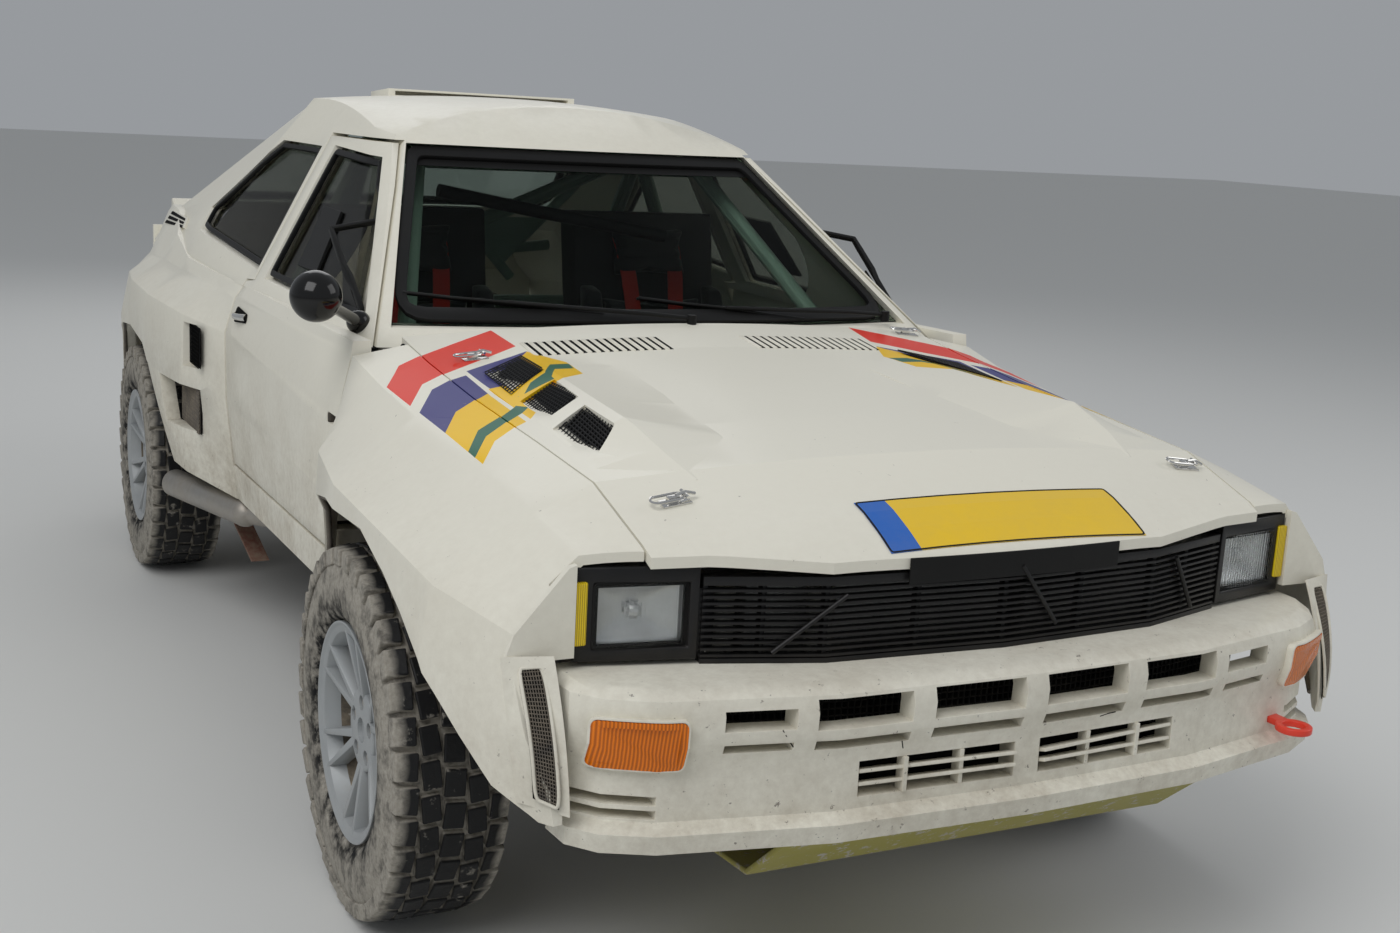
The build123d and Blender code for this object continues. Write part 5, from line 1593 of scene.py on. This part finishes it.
def makeRim():
    parts = [smooth(bevelled(lathed(wheelShape["barrel"]), 0.001, 1), 40)]
    hub = bevelled(drum(*wheelShape["hub"]), 0.005, 3)
    places = []
    for k in range(wheelShape["nuts"]):
        angle = 2 * math.pi * k / wheelShape["nuts"] + wheelShape["nutStart"]
        places.append((wheelShape["nutRing"] * math.cos(angle), wheelShape["nutRing"] * math.sin(angle)))
    for y, z in places:
        cut(hub, drum(*wheelShape["pocket"], y, z, 24))
    parts.append(smooth(cut(hub, drum(*wheelShape["bore"])), 35))
    for k in range(wheelShape["pairs"]):
        for lean in (-1, 1):
            parts.append(makeSpoke(2 * math.pi * k / wheelShape["pairs"], lean))
    metal = [smooth(bevelled(drum(*wheelShape["brake"]), 0.001), 35), smooth(drum(*wheelShape["axle"]), 35)]
    metal += [bevelled(drum(*wheelShape["nut"], y, z, 6), 0.001) for y, z in places]
    whole = joined(parts)
    whole.data.materials.append(rimPaint)
    whole.data.materials.append(underMetal)
    # faces of the inner barrel take the dark under-car finish
    for face in whole.data.polygons:
        x, radius = face.center.x, math.hypot(face.center.y, face.center.z)
        face.material_index = 1 if x < wheelShape["dirt"][0] and radius > wheelShape["dirt"][1] else 0
    return whole, joined(metal)


rim, metal = makeRim()
onFourWheels("rim", [(rim, "rim", "rim_paint", (rimPaint, underMetal)),
                     (metal, "wheelNuts", "steel", (wornSteel,))])
print("wheels dressed")

# tail: ribbed lamps, a blank plate and the lid's lock

tailSpec = {"lamp": ((0.400, 0.640), (0.715, 0.838)), "ribs": (0.0, 0.34, 0.67, 1.0), "rib": 0.004,
            "ribY": (-0.006, 0.003), "plate": ((-0.26, 0.26), (0.585, 0.695)), "gap": 0.002, "lockZ": 0.93,
            "lockRadius": 0.014}


def makeTail():
    (x0, x1), (z0, z1), rib = *tailSpec["lamp"], tailSpec["rib"]
    y0, y1 = [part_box("tail_lamps")[1].y + y for y in tailSpec["ribY"]]
    for label, side in bothSides:
        ribs = []
        for share in tailSpec["ribs"]:
            x = side * (x0 + share * (x1 - x0))
            ribs.append(newBox((x - rib, y0, z0 - 0.003), (x + rib, y1, z1 + 0.003)))
        for z in (z0, z1):
            ribs.append(newBox((side * (x0 - rib), y0, z - rib), (side * (x1 + rib), y1, z + rib)))
        ribs = joined([bevelled(bar, 0.001) for bar in ribs])
        finished(ribs, "tailRibs" + label, "chassis", "black_plastic", blackTrim)
    (x0, x1), (z0, z1), gap = *tailSpec["plate"], tailSpec["gap"]
    face = cast("rear_bumper", (0, beyond, (z0 + z1) / 2), (0, -1, 0))[0].y
    pocket = newBox((x0 - gap, face - 0.004, z0 - gap), (x1 + gap, face + 0.1, z1 + gap))
    cut(panels["rear_bumper"], pocket)
    sheet = bevelled(newBox((x0, face - 0.005, z0), (x1, face - 0.001, z1)), 0.001)
    finished(sheet, "rearPlate", "chassis", "ivory_paint", plateBlank)
    lid = cast("boot_lid", (0, beyond, tailSpec["lockZ"]), (0, -1, 0))[0].y
    lock = settle(added(bpy.ops.mesh.primitive_cylinder_add, vertices=24, radius=tailSpec["lockRadius"],
                        depth=0.006, rotation=(math.pi / 2, 0, 0),
                        location=(0, lid + 0.002, tailSpec["lockZ"])))
    finished(bevelled(lock, 0.002), "bootLock", "boot_body", "steel", chrome)


makeTail()
print("tail dressed")

# the camera stands where the photograph was taken from

cameraPlace = {"at": (-1.672, -4.210, 1.519), "yaw": 27.19, "pitch": -11.99, "roll": 3.26, "lens": 43.1}
yaw, pitch, roll = [math.radians(cameraPlace[k]) for k in ("yaw", "pitch", "roll")]
ahead = Vector((math.sin(yaw) * math.cos(pitch), math.cos(yaw) * math.cos(pitch), math.sin(pitch)))
level = Vector((math.cos(yaw), -math.sin(yaw), 0))
above = level.cross(ahead)
right = level * math.cos(roll) + above * math.sin(roll)
up = above * math.cos(roll) - level * math.sin(roll)
camera = bpy.data.objects.new("camera", bpy.data.cameras.new("camera"))
bpy.context.scene.collection.objects.link(camera)
turned = Matrix((right, up, -ahead)).transposed().to_4x4()
camera.matrix_world = Matrix.Translation(cameraPlace["at"]) @ turned
camera.data.lens = cameraPlace["lens"]
camera.data.sensor_width = 36
camera.data.clip_end = 200
bpy.context.scene.camera = camera

# floor, world and lights

floor = settle(added(bpy.ops.mesh.primitive_plane_add, size=90, location=(0, 0, 0)), "floor")
floorMaterial, _, _ = startMaterial("paleFloor", (0.72, 0.72, 0.70), 0.9)
floor.data.materials.append(floorMaterial)

world = bpy.data.worlds.new("studio")
world.use_nodes = True
sky = world.node_tree.nodes["Background"].inputs
sky["Color"].default_value = (0.86, 0.90, 0.95, 1)
sky["Strength"].default_value = 0.36
bpy.context.scene.world = world

# name, place, size and power; all look at the middle of the body
lightRig = [
    ("keyLight", (-4.5, -4.0, 6.5), 5.0, 260),
    ("sideLight", (5.5, -3.0, 4.5), 4.0, 80),
    ("rearLight", (1.5, 6.5, 5.5), 5.0, 90),
]
for name, at, size, power in lightRig:
    light = bpy.data.objects.new(name, bpy.data.lights.new(name, "AREA"))
    light.data.size = size
    light.data.energy = power
    light.location = at
    light.rotation_euler = (Vector((0, 0, 0.6)) - Vector(at)).to_track_quat("-Z", "Y").to_euler()
    bpy.context.scene.collection.objects.link(light)

bpy.context.scene.view_settings.view_transform = "Standard"
print("camera, floor and lights set")
